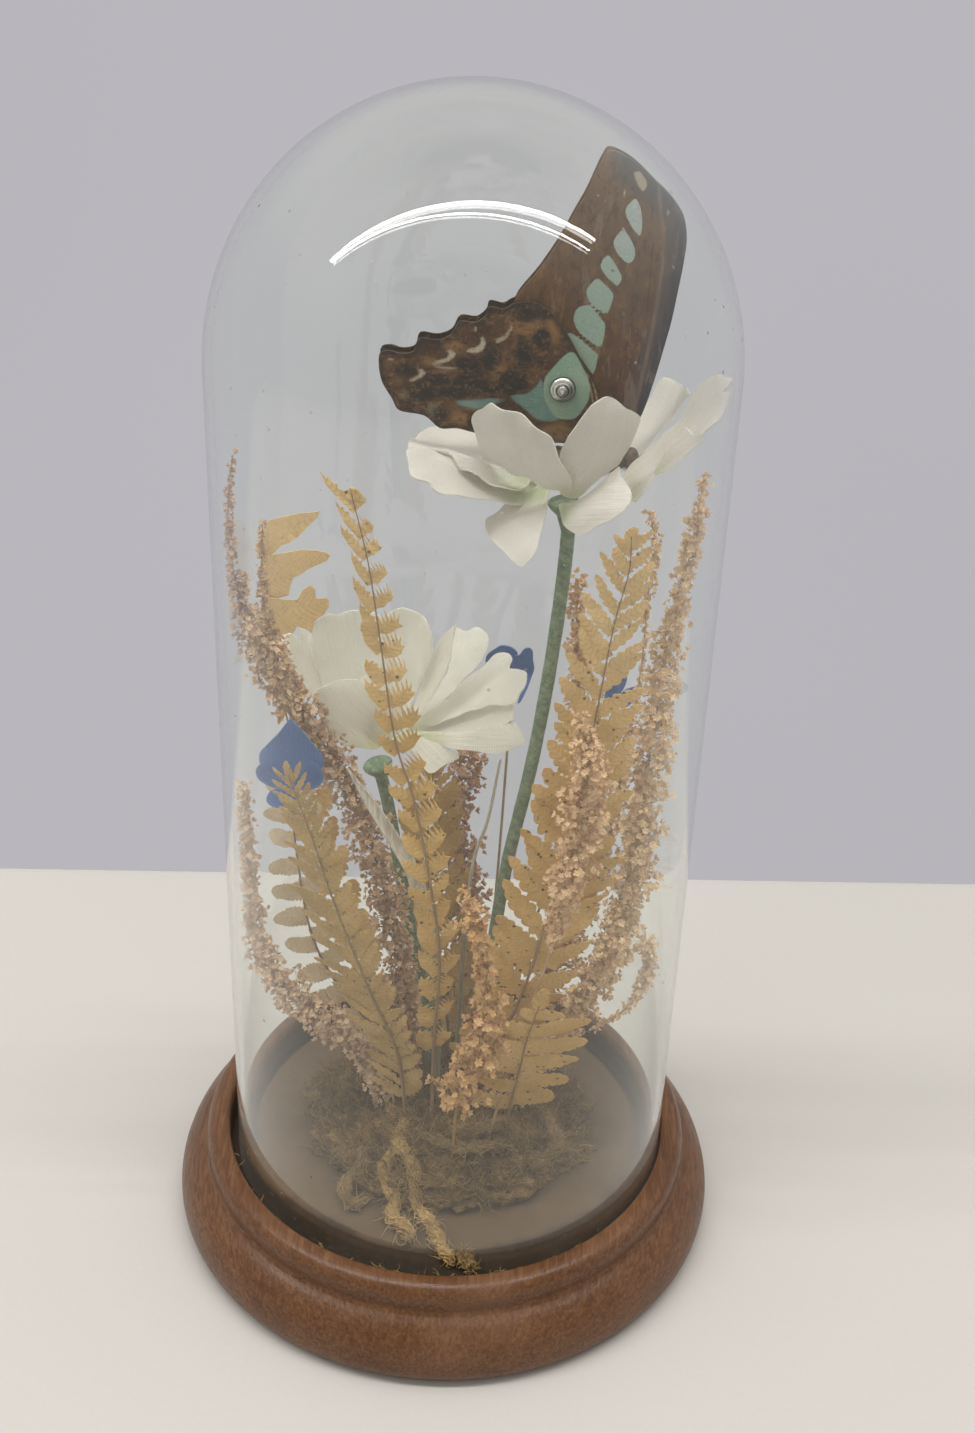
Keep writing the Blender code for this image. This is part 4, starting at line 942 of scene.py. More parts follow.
flowers = {
    "cell": 0.8,
    "thickness": 0.26,
    "crease": 0.09,
    "ruffledRim": 1.3,          # how far in from the rim the ruffles reach
    "upperStem": [(16, 0, 151.3), (17.1, 0, 145.1), (15.8, 0, 123.6), (13.4, 0.2, 101.4), (9.7, 1, 77.4),
        (7.4, 2, 54)],
    "upperFoot": (4.2, 3.2),
    "upperRadii": (1.18, 2.6),  # of the stem and of its calyx
    # foot, tip, the way the inner face looks, half width, bow, cup, ruffle, then the outline: along and across
    "upper": [
        ((14, -1.9, 152.6), (4.6, -9.8, 170.8), (0.5, 0.8, 0.4), 7.2, -3.2, 1.6, 0.5,
         [(2.2, -4.6), (4, -3.1), (7.3, -1.3), (8.6, 1.1), (9.5, 3), (9.1, 5.9), (8.5, 9.3), (13, 8.1),
          (17.1, 6.9), (19.5, 5.4), (20.7, 3.3), (21.7, 1.5), (21.3, 0.3), (21.1, -2.2), (19.9, -4.4),
          (18.1, -6.2), (16.3, -7.3), (14.6, -7.8), (11.8, -7.9), (8.9, -7.6), (5.6, -6.9)]),
        ((17.4, -2.1, 152.6), (21.9, -9, 171.8), (-0.4, 0.9, 0.4), 6.5, -3, 1.6, 0.5,
         [(2, 3.2), (7.4, 5.4), (11, 6.3), (13.5, 6), (15.3, 5.7), (18, 4.8), (19.6, 3.9), (20.5, 3.1),
          (21.2, 1.4), (20.9, -0.2), (19.5, -2.7), (17.4, -6), (15.7, -5.6), (13.1, -4.9), (10.5, -4.4),
          (8.8, -4.1), (6.7, -2.1), (4.3, -0.8), (0.6, 0)]),
        ((13.9, -4.2, 154.3), (9.6, -12.5, 145.1), (-0.35, -0.6, 0.7), 6, 1.2, -0.8, 0.5,
         [(-3.4, 1.5), (-1.5, 0.9), (0.4, 0.3), (2.6, -0.6), (4.2, -1), (5.9, -1.1), (7.9, -1.2), (9.7, -1.5),
          (11.3, -1.3), (12.5, -0.7), (13.1, 0), (13, 1.2), (12.4, 2.5), (11.5, 4.1), (10.4, 6.3), (9.1, 8),
          (7.8, 9), (6.8, 9), (5.6, 7.9), (3.9, 6.9), (2.4, 5.8), (0.5, 4.1), (-1.3, 2.5)]),
        ((15.3, -4.6, 152.3), (25.5, -13, 157.3), (0.2, -0.75, 0.6), 5, 0.6, -0.6, 0.5,
         [(0.2, 0), (2.3, -0.2), (4.3, -0.6), (6.3, -1.9), (8.2, -3.4), (9.5, -4.8), (10.1, -6.1), (11.6, -4.2),
          (13, -2.6), (14.4, -0.6), (14.4, 1.2), (13.4, 2.3), (11.4, 3.4), (8.9, 4), (7.1, 4.7), (5.2, 5.1),
          (3.4, 4.5), (1.7, 3.2), (0.7, 1.6)]),
        ((12.9, 3.6, 154.4), (-10, 9, 159), (0.15, -0.15, 1), 6, 0.6, 1.2, 0.7,
         [(21.1, -10.1), (21.6, -4.2), (20.6, -0.5), (19.3, 1.6), (16.7, 3.2), (14.2, 4.1), (10.7, 2.3),
          (6.9, -0.6), (1, -7.1), (2.9, -12.4), (6.9, -12.1), (9.8, -11.5), (11.7, -10.6), (13.9, -8.9),
          (15.7, -8.4), (19.6, -9.2)]),
        ((11.4, -2.2, 152.4), (-8.4, -8.2, 157.4), (0.1, -0.3, 1), 6, 0.1, 0.8, 0.7,
         [(-2.6, 2.7), (0.2, 3.4), (2.4, 4.4), (4.6, 5.4), (6.8, 6.1), (8.3, 5.4), (8.8, 3.9), (10, 3.5),
          (12.1, 4.2), (13.6, 5.8), (15.8, 6.4), (19.4, 6.5), (21.3, 5.9), (21.2, 3.3), (21.3, 1.1),
          (20.7, -0.1), (18.3, -0.6), (18, -1.6), (16.2, -2.3), (14.5, -3.2), (11.7, -3.1), (8.8, -2.6),
          (6.2, -3.4), (3.2, -2.6), (-0.1, -0.9)]),
        ((18.6, 4.4, 152.4), (33.2, 17.2, 167.2), (-0.5, -0.2, 0.8), 7.2, -2.6, 1.8, 0.5,
         [(8, 2.7), (10.7, 0.8), (14, -0.7), (16.5, -1.4), (19.3, -1.5), (22.1, -1.4), (23.4, 0), (23.5, 2.5),
          (22, 6.9), (20.7, 10.4), (19.4, 10), (17.5, 9.4), (15.2, 9.2), (13.3, 8.7), (10.9, 8.3), (8.7, 8.6),
          (7.2, 6.7)]),
        ((21.8, -4, 151.8), (38, -9.8, 174.4), (-0.5, -0.5, 0.7), 4.2, -2.4, 1, 0.4,
         [(5.8, -2), (7.9, -2.9), (9.8, -3.1), (12.1, -3.1), (14.4, -3.1), (16.4, -3), (18.4, -2.9),
          (19.9, -2.9), (21.9, -3.3), (24.5, -3.5), (26.8, -3.3), (28.6, -2.6), (29.9, -1.3), (31, 0.6),
          (30.2, 1), (28.7, 0.9), (30.1, 2.3), (28.6, 2.7), (27.3, 3.4), (26, 4.3), (24.1, 4), (22.4, 3.3),
          (20.3, 1.6), (19, -0.3), (18.4, -1.3), (16.9, -1.6), (15.4, -1.2), (13.2, -0.6), (11.5, 0.3),
          (9.5, 1.9), (7.6, 2.9), (5.6, 3), (5.3, 0.9), (5.3, -0.8)]),
        ((29.5, -8, 159.7), (36.1, -12, 168.2), (-0.2, -0.8, 0.5), 3, -0.6, 0.4, 0.4,
         [(0, 0), (2.4, -1.1), (5, -1.9), (7.6, -2.7), (8.9, -2.5), (9.5, -0.9), (11.5, -0.1), (10, 0.7),
          (7.6, 0.7), (5.3, 0.8), (3.1, 0.9), (1.5, 0.8)])],
    "lowerStem": [(-14.8, 8, 94.6), (-13.3, 8, 88.6), (-11.6, 8, 79), (-9, 8, 62), (-5.4, 7.6, 42)],
    "lowerFoot": (-2.6, 7),
    "lowerRadii": (1.15, 2.8),
    "lower": [
        ((-17.2, 8, 96.8), (-31.6, 7.4, 118.6), (0.8, -0.1, 0.5), 4.5, -3.2, 1.2, 0.4,
         [(-0.9, 2.6), (3.4, -0.1), (8.7, 0.4), (13.2, 1.8), (17.5, 1.8), (21.8, 1.1), (25.9, -1.1),
          (27.6, -1.3), (26.6, 2), (25.1, 4.4), (21.3, 6.2), (18.4, 7.7), (13.6, 8.4), (5.9, 8.4),
          (-0.4, 6.4)]),
        ((-16.2, 10.6, 97.2), (-23, 16.6, 122.4), (0.3, -0.9, 0.3), 5.8, -2.4, 1.2, 0.4,
         [(-0.9, 1.5), (3.3, -2.5), (9.1, -5.2), (15.1, -6.2), (19.4, -6.5), (22.4, -5.8), (24.2, -4.7),
          (24.9, -3.2), (25.2, -1.5), (24.4, -0.1), (24.6, 2), (24.3, 3.7), (23.7, 5.2), (22.7, 6.9), (20, 7.6),
          (14.7, 7), (8, 5.5), (1.7, 3.4)]),
        ((-14.8, 9.6, 98.2), (-10.6, 13, 123.2), (-0.2, -0.9, 0.3), 4.8, -1.6, 1.2, 0.4,
         [(-0.6, 0.6), (5.7, -0.5), (12.3, -2.3), (19.4, -3.4), (23.7, -2.8), (25.8, -0.9), (26.3, 1.4),
          (26, 3.7), (24.4, 5.6), (22.2, 6.6), (19.3, 6.8), (16.2, 6.3), (12.6, 5.4), (9.8, 4.9), (6.4, 4.5),
          (2.4, 3.2)]),
        ((-13, 8, 98.4), (-0.4, 7.4, 119), (-0.7, -0.4, 0.5), 3.3, -1.6, 0.8, 0.3,
         [(2.1, 1), (6.1, -0.9), (9.8, -2.4), (13.7, -3.6), (18, -5.1), (21.8, -4.7), (25, -3.9), (26.7, -3.1),
          (25, -2.6), (22.8, -2), (21.1, -1), (18.4, -0.2), (14.8, -0.2), (11.5, 0.1), (7.2, 0.7)]),
        ((-12.4, 9.6, 97.6), (10.6, 13.8, 116.6), (-0.5, -0.3, 0.8), 4.3, -1.2, 0.8, 0.4,
         [(6, -1.2), (9.5, -1.9), (13.2, -1.7), (14.7, -2.3), (17.4, -2.5), (20.2, -2.8), (22.9, -2.8),
          (25, -2.6), (26.8, -1.7), (27.6, -0.4), (27.4, 1.2), (26.4, 2.7), (29, 6.9), (29, 8.8), (27.9, 10.2),
          (26.2, 11), (24.5, 11.9), (20.4, 8), (16.1, 5.7), (9.1, 2.1)]),
        ((-12.2, 6.6, 96.2), (11.4, 2.6, 110.8), (-0.2, -0.3, 1), 4.6, -0.9, -0.8, 0.4,
         [(-0.1, -6.6), (1.8, -8), (4, -9.5), (6.3, -10.9), (8.6, -11.8), (10.9, -11.4), (13.4, -9.6),
          (15.2, -7.4), (17, -7.1), (19.8, -6.9), (22.7, -5.4), (25.3, -2.6), (25.9, 0), (25.4, 1.8),
          (23.4, 1.8), (20.7, 1.3), (18.7, 2), (15.9, 2.7), (12.9, 1.9), (10.2, -0.5), (6.7, -3.4),
          (2.7, -6.1)]),
        ((-7.3, 3, 103.6), (11.8, -0.5, 105.8), (0, -0.8, 0.6), 4.6, 0.8, -0.8, 0.4,
         [(-2.2, -0.6), (4.4, -0.8), (9.4, -0.9), (13.3, -2.1), (16.2, -2.5), (17.6, -3.1), (19.6, 0.1),
          (18, 1.3), (15.8, 2.4), (13.5, 2.7), (10.3, 2.3), (7.3, 2.2), (4.5, 1.5), (0.7, 0.6)]),
        ((-14.3, 4, 100.1), (-24.3, -4, 115.7), (-0.3, -0.9, 0.3), 7, 2, -1.2, 0.3,
         [(0.2, 0.2), (2.9, -1.7), (4.8, -3.2), (7.5, -4.1), (11, -3.7), (14.2, -2.4), (16.8, -1.7),
          (19.5, -1.1), (20.7, 1.7), (20.3, 4.8), (19.2, 6.7), (17.7, 7.6), (15.2, 8.3), (12.8, 8.6),
          (9.6, 7.8), (4.4, 4.6)]),
        ((-15, 5.6, 97), (-14.6, -1.6, 114.6), (0.1, 0.9, 0.4), 4.6, -2.4, 1.4, 0.3,
         [(6.5, -1.3), (10.6, 1.2), (14.1, 3), (17.3, 3.8), (20.3, 3), (22, 1.2), (22.7, -0.7), (21.6, -2.6),
          (18.9, -4.2), (15.2, -4.9), (11.7, -4.4), (8.6, -3.2)]),
        ((-10.7, 3.6, 102.8), (-4.3, -2.5, 99.4), (0.2, -0.9, 0.4), 4, 1, -0.6, 0.3,
         [(-0.8, 1.2), (-0.4, -0.3), (1.1, -1.9), (3.5, -3.9), (5.3, -4.8), (7.3, -4.8), (9.2, -5.5),
          (10.3, -5.3), (9.9, -3.7), (9.8, -1.8), (9.6, 0), (8.5, 0.5), (6.7, 0.1), (4.5, -0.1), (2.4, 0)]),
        ((-17, 10, 96), (-25.6, 21.6, 111), (0.6, -0.4, 0.7), 4.8, -1.8, 1, 0.4,
         [(2.2, 3), (6.9, 0.3), (11.9, -3.4), (17.6, -6.6), (21.6, -7.2), (24.4, -7.4), (26.1, -7.3),
          (25, -5.9), (23.8, -4.5), (22.3, -3.1), (18.5, -0.7), (12.5, 1.7), (5.6, 4.8)]),
        ((-14, 11.2, 96.2), (-4.6, 26, 109.6), (-0.3, -0.6, 0.8), 5.6, -1.8, 1, 0.4,
         [(5.3, 2.5), (11.3, 3), (15, 3.6), (17.8, 4.2), (21.1, 3.2), (23.6, 2), (26, 2), (26, 4.6),
          (26.8, 6.6), (26.4, 9.2), (25.2, 10.2), (22.9, 10.3), (19.7, 9.3), (17.2, 8.1), (13.8, 7),
          (10.3, 5.5)])],
}


def paintCloth(name, pale, deep, tipTint, through=0.3):
    paint = Paint(name)
    where, thread = paint.place(), paint.add("ShaderNodeUVMap", {"uv_map": "cloth"})
    across, lengthwise = (paint.axis(thread, 0) * 15.0).sine(), (paint.axis(thread, 1) * 17.0).sine()
    slub = paint.clouds(where, 260.0, 3.0)
    stain = paint.clouds(where, 90.0, 3.0)
    pleat = paint.clouds(paint.scaled(thread, (0.12, 1.5, 1.0)), 1.0, 2.0)
    weave = across * 0.6 + lengthwise * 0.25 + slub * 0.9
    fleck = paint.cells(where, 420.0).below(0.035, 0.06) * stain.spread(0.55, 0.62)
    colour = paint.over(
        # darker towards the foot, and on white and cream cloth also greener: partly the cloth's own tint, partly
        # painted shade where the petals meet
        paint.mix(paint.value("fromFoot").spread(0.0, 0.38), deep, pale),
        (paint.value("rim").below(0.0, 0.8) * 0.5, tipTint),
        (stain.spread(0.4, 0.75) * 0.25, shaded(pale, 0.84)),
        # painted shade along the lengthwise pleats
        (pleat.spread(0.3, 0.7) * 0.14, shaded(pale, 0.8)),
        ((weave * 0.5 + 0.2).spread(0.0, 1.0) * 0.08, shaded(pale, 0.78)),
        (fleck * 0.45, (0.30, 0.22, 0.14)))
    bumps = paint.bump(weave * 0.35 + pleat * 3.0, 0.00012, 0.6)
    paint.set(colour=colour, rough=0.78, normal=bumps, sheen=0.2, sheenRough=0.4, specular=0.25)
    return paint.glow(through, Color=colour, Normal=bumps)


def newCloth():
    bm = bmesh.new()
    bm.loops.layers.uv.new("cloth")
    bm.verts.layers.float.new("fromFoot")
    bm.verts.layers.float.new("rim")
    return bm


def addPetal(bm, values, seed, cell):
    foot, tip, facing, halfWidth, bow, cup, ruffle, outline = values
    foot, tip = Vector(foot), Vector(tip)
    length = (tip - foot).length
    along = (tip - foot) / length
    across = along.cross(Vector(facing)).normalized()
    normal = across.cross(along)
    outline = softEdged(outline, 3)
    cells = flatCells(outline, cell)
    rims = [-float(gap) for gap in sideOf(np.array(cells[0]), outline)]
    rimOf = dict(zip(cells[0], rims))

    def where(s, t):
        q = s / length
        height = 4 * bow * q * (1 - q) + cup * min((t / halfWidth) ** 2, 1.6)
        swell = noise.noise(Vector((s * 0.16 + seed * 7.3, t * 0.22, seed * 1.7)))
        crease = math.sin(t * 1.7 + swell * 4.0 + seed) * flowers["crease"] * min(max(q, 0.0), 1.0)
        edge = math.exp(-(rimOf[s, t] / flowers["ruffledRim"]) ** 2) * math.sin(s * 0.8 + t * 0.9 + seed * 2.1)
        return foot + along * s + across * t + normal * (height + ruffle * (swell * 1.3 + edge * 0.45) + crease)

    made, sides = addSheet(bm, cells, where)
    flat = bm.loops.layers.uv["cloth"]
    fromFoot, rim = bm.verts.layers.float["fromFoot"], bm.verts.layers.float["rim"]
    spots = dict(zip(made, cells[0]))
    for vert, (s, t) in spots.items():
        vert[fromFoot] = s / length
        vert[rim] = rimOf[s, t]
    for face in sides:
        for loop in face.loops:
            loop[flat].uv = spots[loop.vert]


def makePetals(label, look):
    for number, values in enumerate(flowers[label], 1):
        bm = newCloth()
        addPetal(bm, values, number + (20 if label == "lower" else 0), flowers["cell"])
        bm.normal_update()
        made = addPiece(f"{label}_cloth_petal_{number}", bm, look, [f"{label}_petal_{number}"])
        wall(made, flowers["thickness"])


def paintTape():
    paint = Paint("green_tape")
    where = paint.place()
    paper = paint.clouds(where, 700.0, 4.0, 0.7)
    fluff = paint.clouds(where, 2200.0, 3.0, 0.6)
    wrap = ((paint.axis(where, 2) + paint.axis(where, 0) * 0.6) * 2300.0 + paper * 2.0).sine()
    colour = paint.over(
        paint.mix(paper.spread(0.25, 0.75), (0.10, 0.165, 0.095), (0.26, 0.33, 0.215)),
        (wrap.spread(0.6, 1.0) * 0.22, (0.05, 0.10, 0.05)),
        (fluff.spread(0.5, 0.75) * 0.5, (0.42, 0.47, 0.36)))
    return paint.set(colour=colour, rough=0.75, specular=0.25,
                     normal=paint.bump(wrap * 0.3 + paper + fluff, 0.00015, 0.7))


# how far below its flower the calyx swells, and by how much
calyxSwell = [(3.2, 0.0), (2.7, 0.06), (2.3, 0.22), (1.9, 0.45), (1.5, 0.68), (1.1, 0.85), (0.8, 0.97), (0.4, 1.0),
              (0.1, 0.86), (0.0, 0.5)]


def makeStem(label, look):
    radius, calyx = flowers[label + "Radii"]
    path = smoothPath([onMoss(*flowers[label + "Foot"], above=-2.0)] + flowers[label + "Stem"][::-1], 48)
    crown = path[-1]
    down = (path[-4] - crown).normalized()
    shaft = [p for p in path if (p - crown).length > calyxSwell[0][0] + 0.2]  # up to just below the calyx
    radii = [radius * (1 + 0.05 * noise.noise(p * 0.35)) for p in shaft]
    radii += [radius + (calyx - radius) * swell for depth, swell in calyxSwell[:-1]] + [calyx * calyxSwell[-1][1]]
    bm = bmesh.new()
    addTubes(bm, [(shaft + [crown + down * depth for depth, swell in calyxSwell], radii)], 16)
    return addPiece(f"{label}_taped_stem", bm, look, [f"{label}_flower_stem"])


def makeFlowers():
    white = paintCloth("white_cloth_weave", (0.825, 0.795, 0.735), (0.60, 0.65, 0.40), (0.86, 0.83, 0.77))
    cream = paintCloth("cream_cloth_weave", (0.97, 0.955, 0.89), (0.82, 0.85, 0.60), (0.975, 0.96, 0.91), 0.55)
    makePetals("upper", white)
    makePetals("lower", cream)
    tape = paintTape()
    makeStem("upper", tape)
    makeStem("lower", tape)


makeFlowers()
print("white flowers done")


# small blue cloth flowers on wires

# frame is foot, tip, the way the inner face looks, half width, bow, cup and ruffle, as in a white petal
blues = {
    "left": {"heart": (-28.9, -11.2, 102.4),
        "frame": ((-27.9, -11.2, 102.4), (-27.5, -12.6, 115.3), (0, -0.85, 0.5), 5, -0.7, -0.6, 0.35),
        "lobes": [
         [(13.2, 0), (11.4, 1.1), (9.2, 2.6), (6.6, 4), (4.2, 5.3), (2, 4.8), (0.3, 2.4), (-0.6, -0.2),
          (0.1, -2.8), (1.8, -5.2), (4.4, -5.4), (6.8, -3.9), (9.4, -2.2), (11.6, -0.9)],
         [(-0.6, 0), (2.1, -1.3), (3.4, -3.2), (2.5, -5.1), (0.6, -6.2), (-1.1, -5.8), (-1.8, -4.3),
          (-1.8, -2.2)],
         [(-0.6, 0), (2, 1.4), (3.6, 3.1), (3.1, 4.6), (0.9, 5.5), (-0.9, 4.9), (-1.6, 3.2), (-1.6, 1.5)],
         [(-0.2, -0.2), (-1.6, -1.9), (-2.7, -3.6), (-4.2, -4), (-5, -2.8), (-4.9, -0.9), (-4.1, 0.8),
          (-2.3, 1.1)]], "wire": [(-24.6, -8.8, 92), (-18.4, -7.2, 68), (-12.4, -5.6, 45)],
        "foot": (-10, -4.8)},
    "back": {"heart": (10.4, 20.5, 107.4),
        "frame": ((10.8, 20.5, 107.7), (10.6, 19.5, 113.2), (0, -0.85, 0.5), 3, -0.5, -0.6, 0.4),
        "lobes": [
         [(1.5, -6.4), (3.2, -5.9), (4.8, -4.7), (5.8, -3.2), (5.6, -1.5), (4, -0.4), (2.5, -0.9), (3.2, -2.1),
          (3.4, -3.7), (2.5, -5.1), (1.4, -5.9)],
         [(3.6, -1.1), (4.1, -0.1), (5.6, 0.7), (5.8, 1.6), (4.5, 2.3), (2.4, 2.4), (0.4, 2.7), (-1.4, 2.1),
          (-2.8, 1.4), (-4.7, 0), (-4.5, -0.4), (-2.4, 0.6), (-0.6, 1), (-0.1, 0.4), (0.1, -0.8), (0, -2.5),
          (1.3, -2)]], "wire": [(9.4, 19.6, 98), (8.6, 17.6, 72), (7.6, 13.6, 46)], "foot": (7, 10.4)},
    "right": {"heart": (27.6, 18.6, 104.6),
        "frame": ((29.3, 18.6, 105.3), (29.7, 17.6, 110.1), (0.1, -0.85, 0.5), 3, -0.5, -0.6, 0.4),
        "lobes": [
         [(0, -2.2), (2.3, -1.4), (4.5, -0.3), (3.6, 1.2), (1.2, 1.2), (-0.7, 0.1), (-2.7, -1.2), (-1.6, -2.3)],
         [(-1.3, 0.2), (0.4, 1.5), (0.8, 3.5), (-0.4, 4.7), (-1.9, 3.4), (-2.6, 1.5)]],
        "wire": [(25, 17.8, 94), (20.4, 15.6, 70), (13, 11.6, 46)], "foot": (9.8, 9.4)},
}

# what the three have in common
blueCloth = {"cell": 0.9, "thickness": 0.2, "layer": 0.25, "wireRadius": 0.26, "wirePlaces": 26}


def paintWire():
    paint = Paint("wrapped_wire")
    grain = paint.clouds(paint.place(), 900.0, 3.0)
    return paint.set(colour=paint.mix(grain, (0.30, 0.24, 0.15), (0.50, 0.41, 0.27)), rough=0.7,
                     normal=paint.bump(grain, 0.0001, 0.5), specular=0.2)


def makeBlues():
    wireLook = paintWire()
    look = paintCloth("blue_cloth_weave", (0.14, 0.26, 0.56), (0.10, 0.19, 0.46), (0.18, 0.30, 0.58))
    places = blueCloth["wirePlaces"]
    for label, flower in blues.items():
        facing = Vector(flower["frame"][2]).normalized()
        heart = Vector(flower["heart"])
        bm = newCloth()
        for number, outline in enumerate(flower["lobes"]):
            foot, tip = (tuple(Vector(end) + facing * blueCloth["layer"] * number) for end in flower["frame"][:2])
            addPetal(bm, (foot, tip, *flower["frame"][2:], outline), number + 40, blueCloth["cell"])
        bmesh.ops.recalc_face_normals(bm, faces=bm.faces)
        thicken(bm, blueCloth["thickness"])
        petalFaces = len(bm.faces)
        feet = flower["wire"] + [onMoss(*flower["foot"], above=-1.0)]
        wire = smoothPath([heart, heart - facing * 2] + feet, places)
        addTubes(bm, [(wire, [blueCloth["wireRadius"]] * places)], 8)
        otherLook(bm, petalFaces)
        addPiece(f"blue_cloth_{label}", bm, [look, wireLook], [f"blue_flower_{label}"])


makeBlues()
print("blue flowers done")


# pale leaf and pale stem

blades = {
    "leaf": [(-3.0, -4.6, 58.0), (-6.4, -7.2, 79.0), (-9.4, -7.8, 86.5), (-14.6, -8.2, 96.2), (-18.6, -9.6, 104.4)],
    "leafFoot": (-1.8, -2.4),
    "leafFacing": (0.1, -0.9, 0.4),
    "leafRows": 60,
    "tipRows": 6,
    "halfWidth": 1.5,
    "thickness": 0.25,
    "stem": [(3.0, 8.4, 68.0), (6.0, 9.6, 82.0), (7.8, 10.0, 95.0)],
    "stemFoot": (1.4, 6.4),
    "stemRadii": [0.45 - 0.2 * (i / 29) ** 2 for i in range(30)],
}


def paintBlade():
    paint = Paint("dried_pale_blade")
    where = paint.place()
    streaks = paint.clouds(paint.scaled(where, (1600, 1600, 160)), 1.0, 3.0)
    colour = paint.over(
        paint.mix(streaks.spread(0.3, 0.7), (0.50, 0.46, 0.38), (0.74, 0.71, 0.63)),
        (paint.axis(where, 2).spread(0.074, 0.050) * 0.85, (0.24, 0.22, 0.12)))
    return paint.set(colour=colour, rough=0.6, normal=paint.bump(streaks, 0.0001, 0.5), specular=0.3)


def makeBlades():
    look = paintBlade()
    rows = blades["leafRows"]
    path = smoothPath([onMoss(*blades["leafFoot"], above=-1.0)] + blades["leaf"], rows + 1)
    ways = pathFrames(path, blades["leafFacing"])
    bm = bmesh.new()
    for vert in bmesh.ops.create_grid(bm, x_segments=6, y_segments=rows, size=1.0)["verts"]:
        u, row = vert.co.x, round((vert.co.y + 1) * rows / 2)
        along, across, normal = ways[row]
        wide = blades["halfWidth"] * (0.35 + 0.65 * math.sin(math.pi * (0.15 + 0.8 * row / rows)))
        wide *= min(1.0, 0.3 + row / 34)
        if rows - row < blades["tipRows"]:
            wide *= max(0.12, (rows - row) / blades["tipRows"])
        vert.co = (path[row] + across * wide * u + normal * (0.35 * u * u + 0.12 * math.sin(row * 0.5 + u))) * mm
    bmesh.ops.recalc_face_normals(bm, faces=bm.faces)
    wall(addPiece("pale_dried_leaf", bm, look, ["pale_leaf"]), blades["thickness"])
    path = smoothPath([onMoss(*blades["stemFoot"], above=-1.0)] + blades["stem"], len(blades["stemRadii"]))
    bm = bmesh.new()
    addTubes(bm, [(path, blades["stemRadii"])], 8)
    addPiece("pale_dried_stem", bm, look, ["pale_stem"])


makeBlades()


# pressed ferns

frontWay = (0.1, -0.9, 0.3)
fernLeaf = {
    "cell": 0.19,
    "lobeCell": 1.3,
    "thickness": 0.13,
    "ribForward": 0.2,        # the rib stands a little in front of its leaflets
    "ribRadii": [0.36 - 0.27 * i / 60 for i in range(61)],
    "places": 120,
}

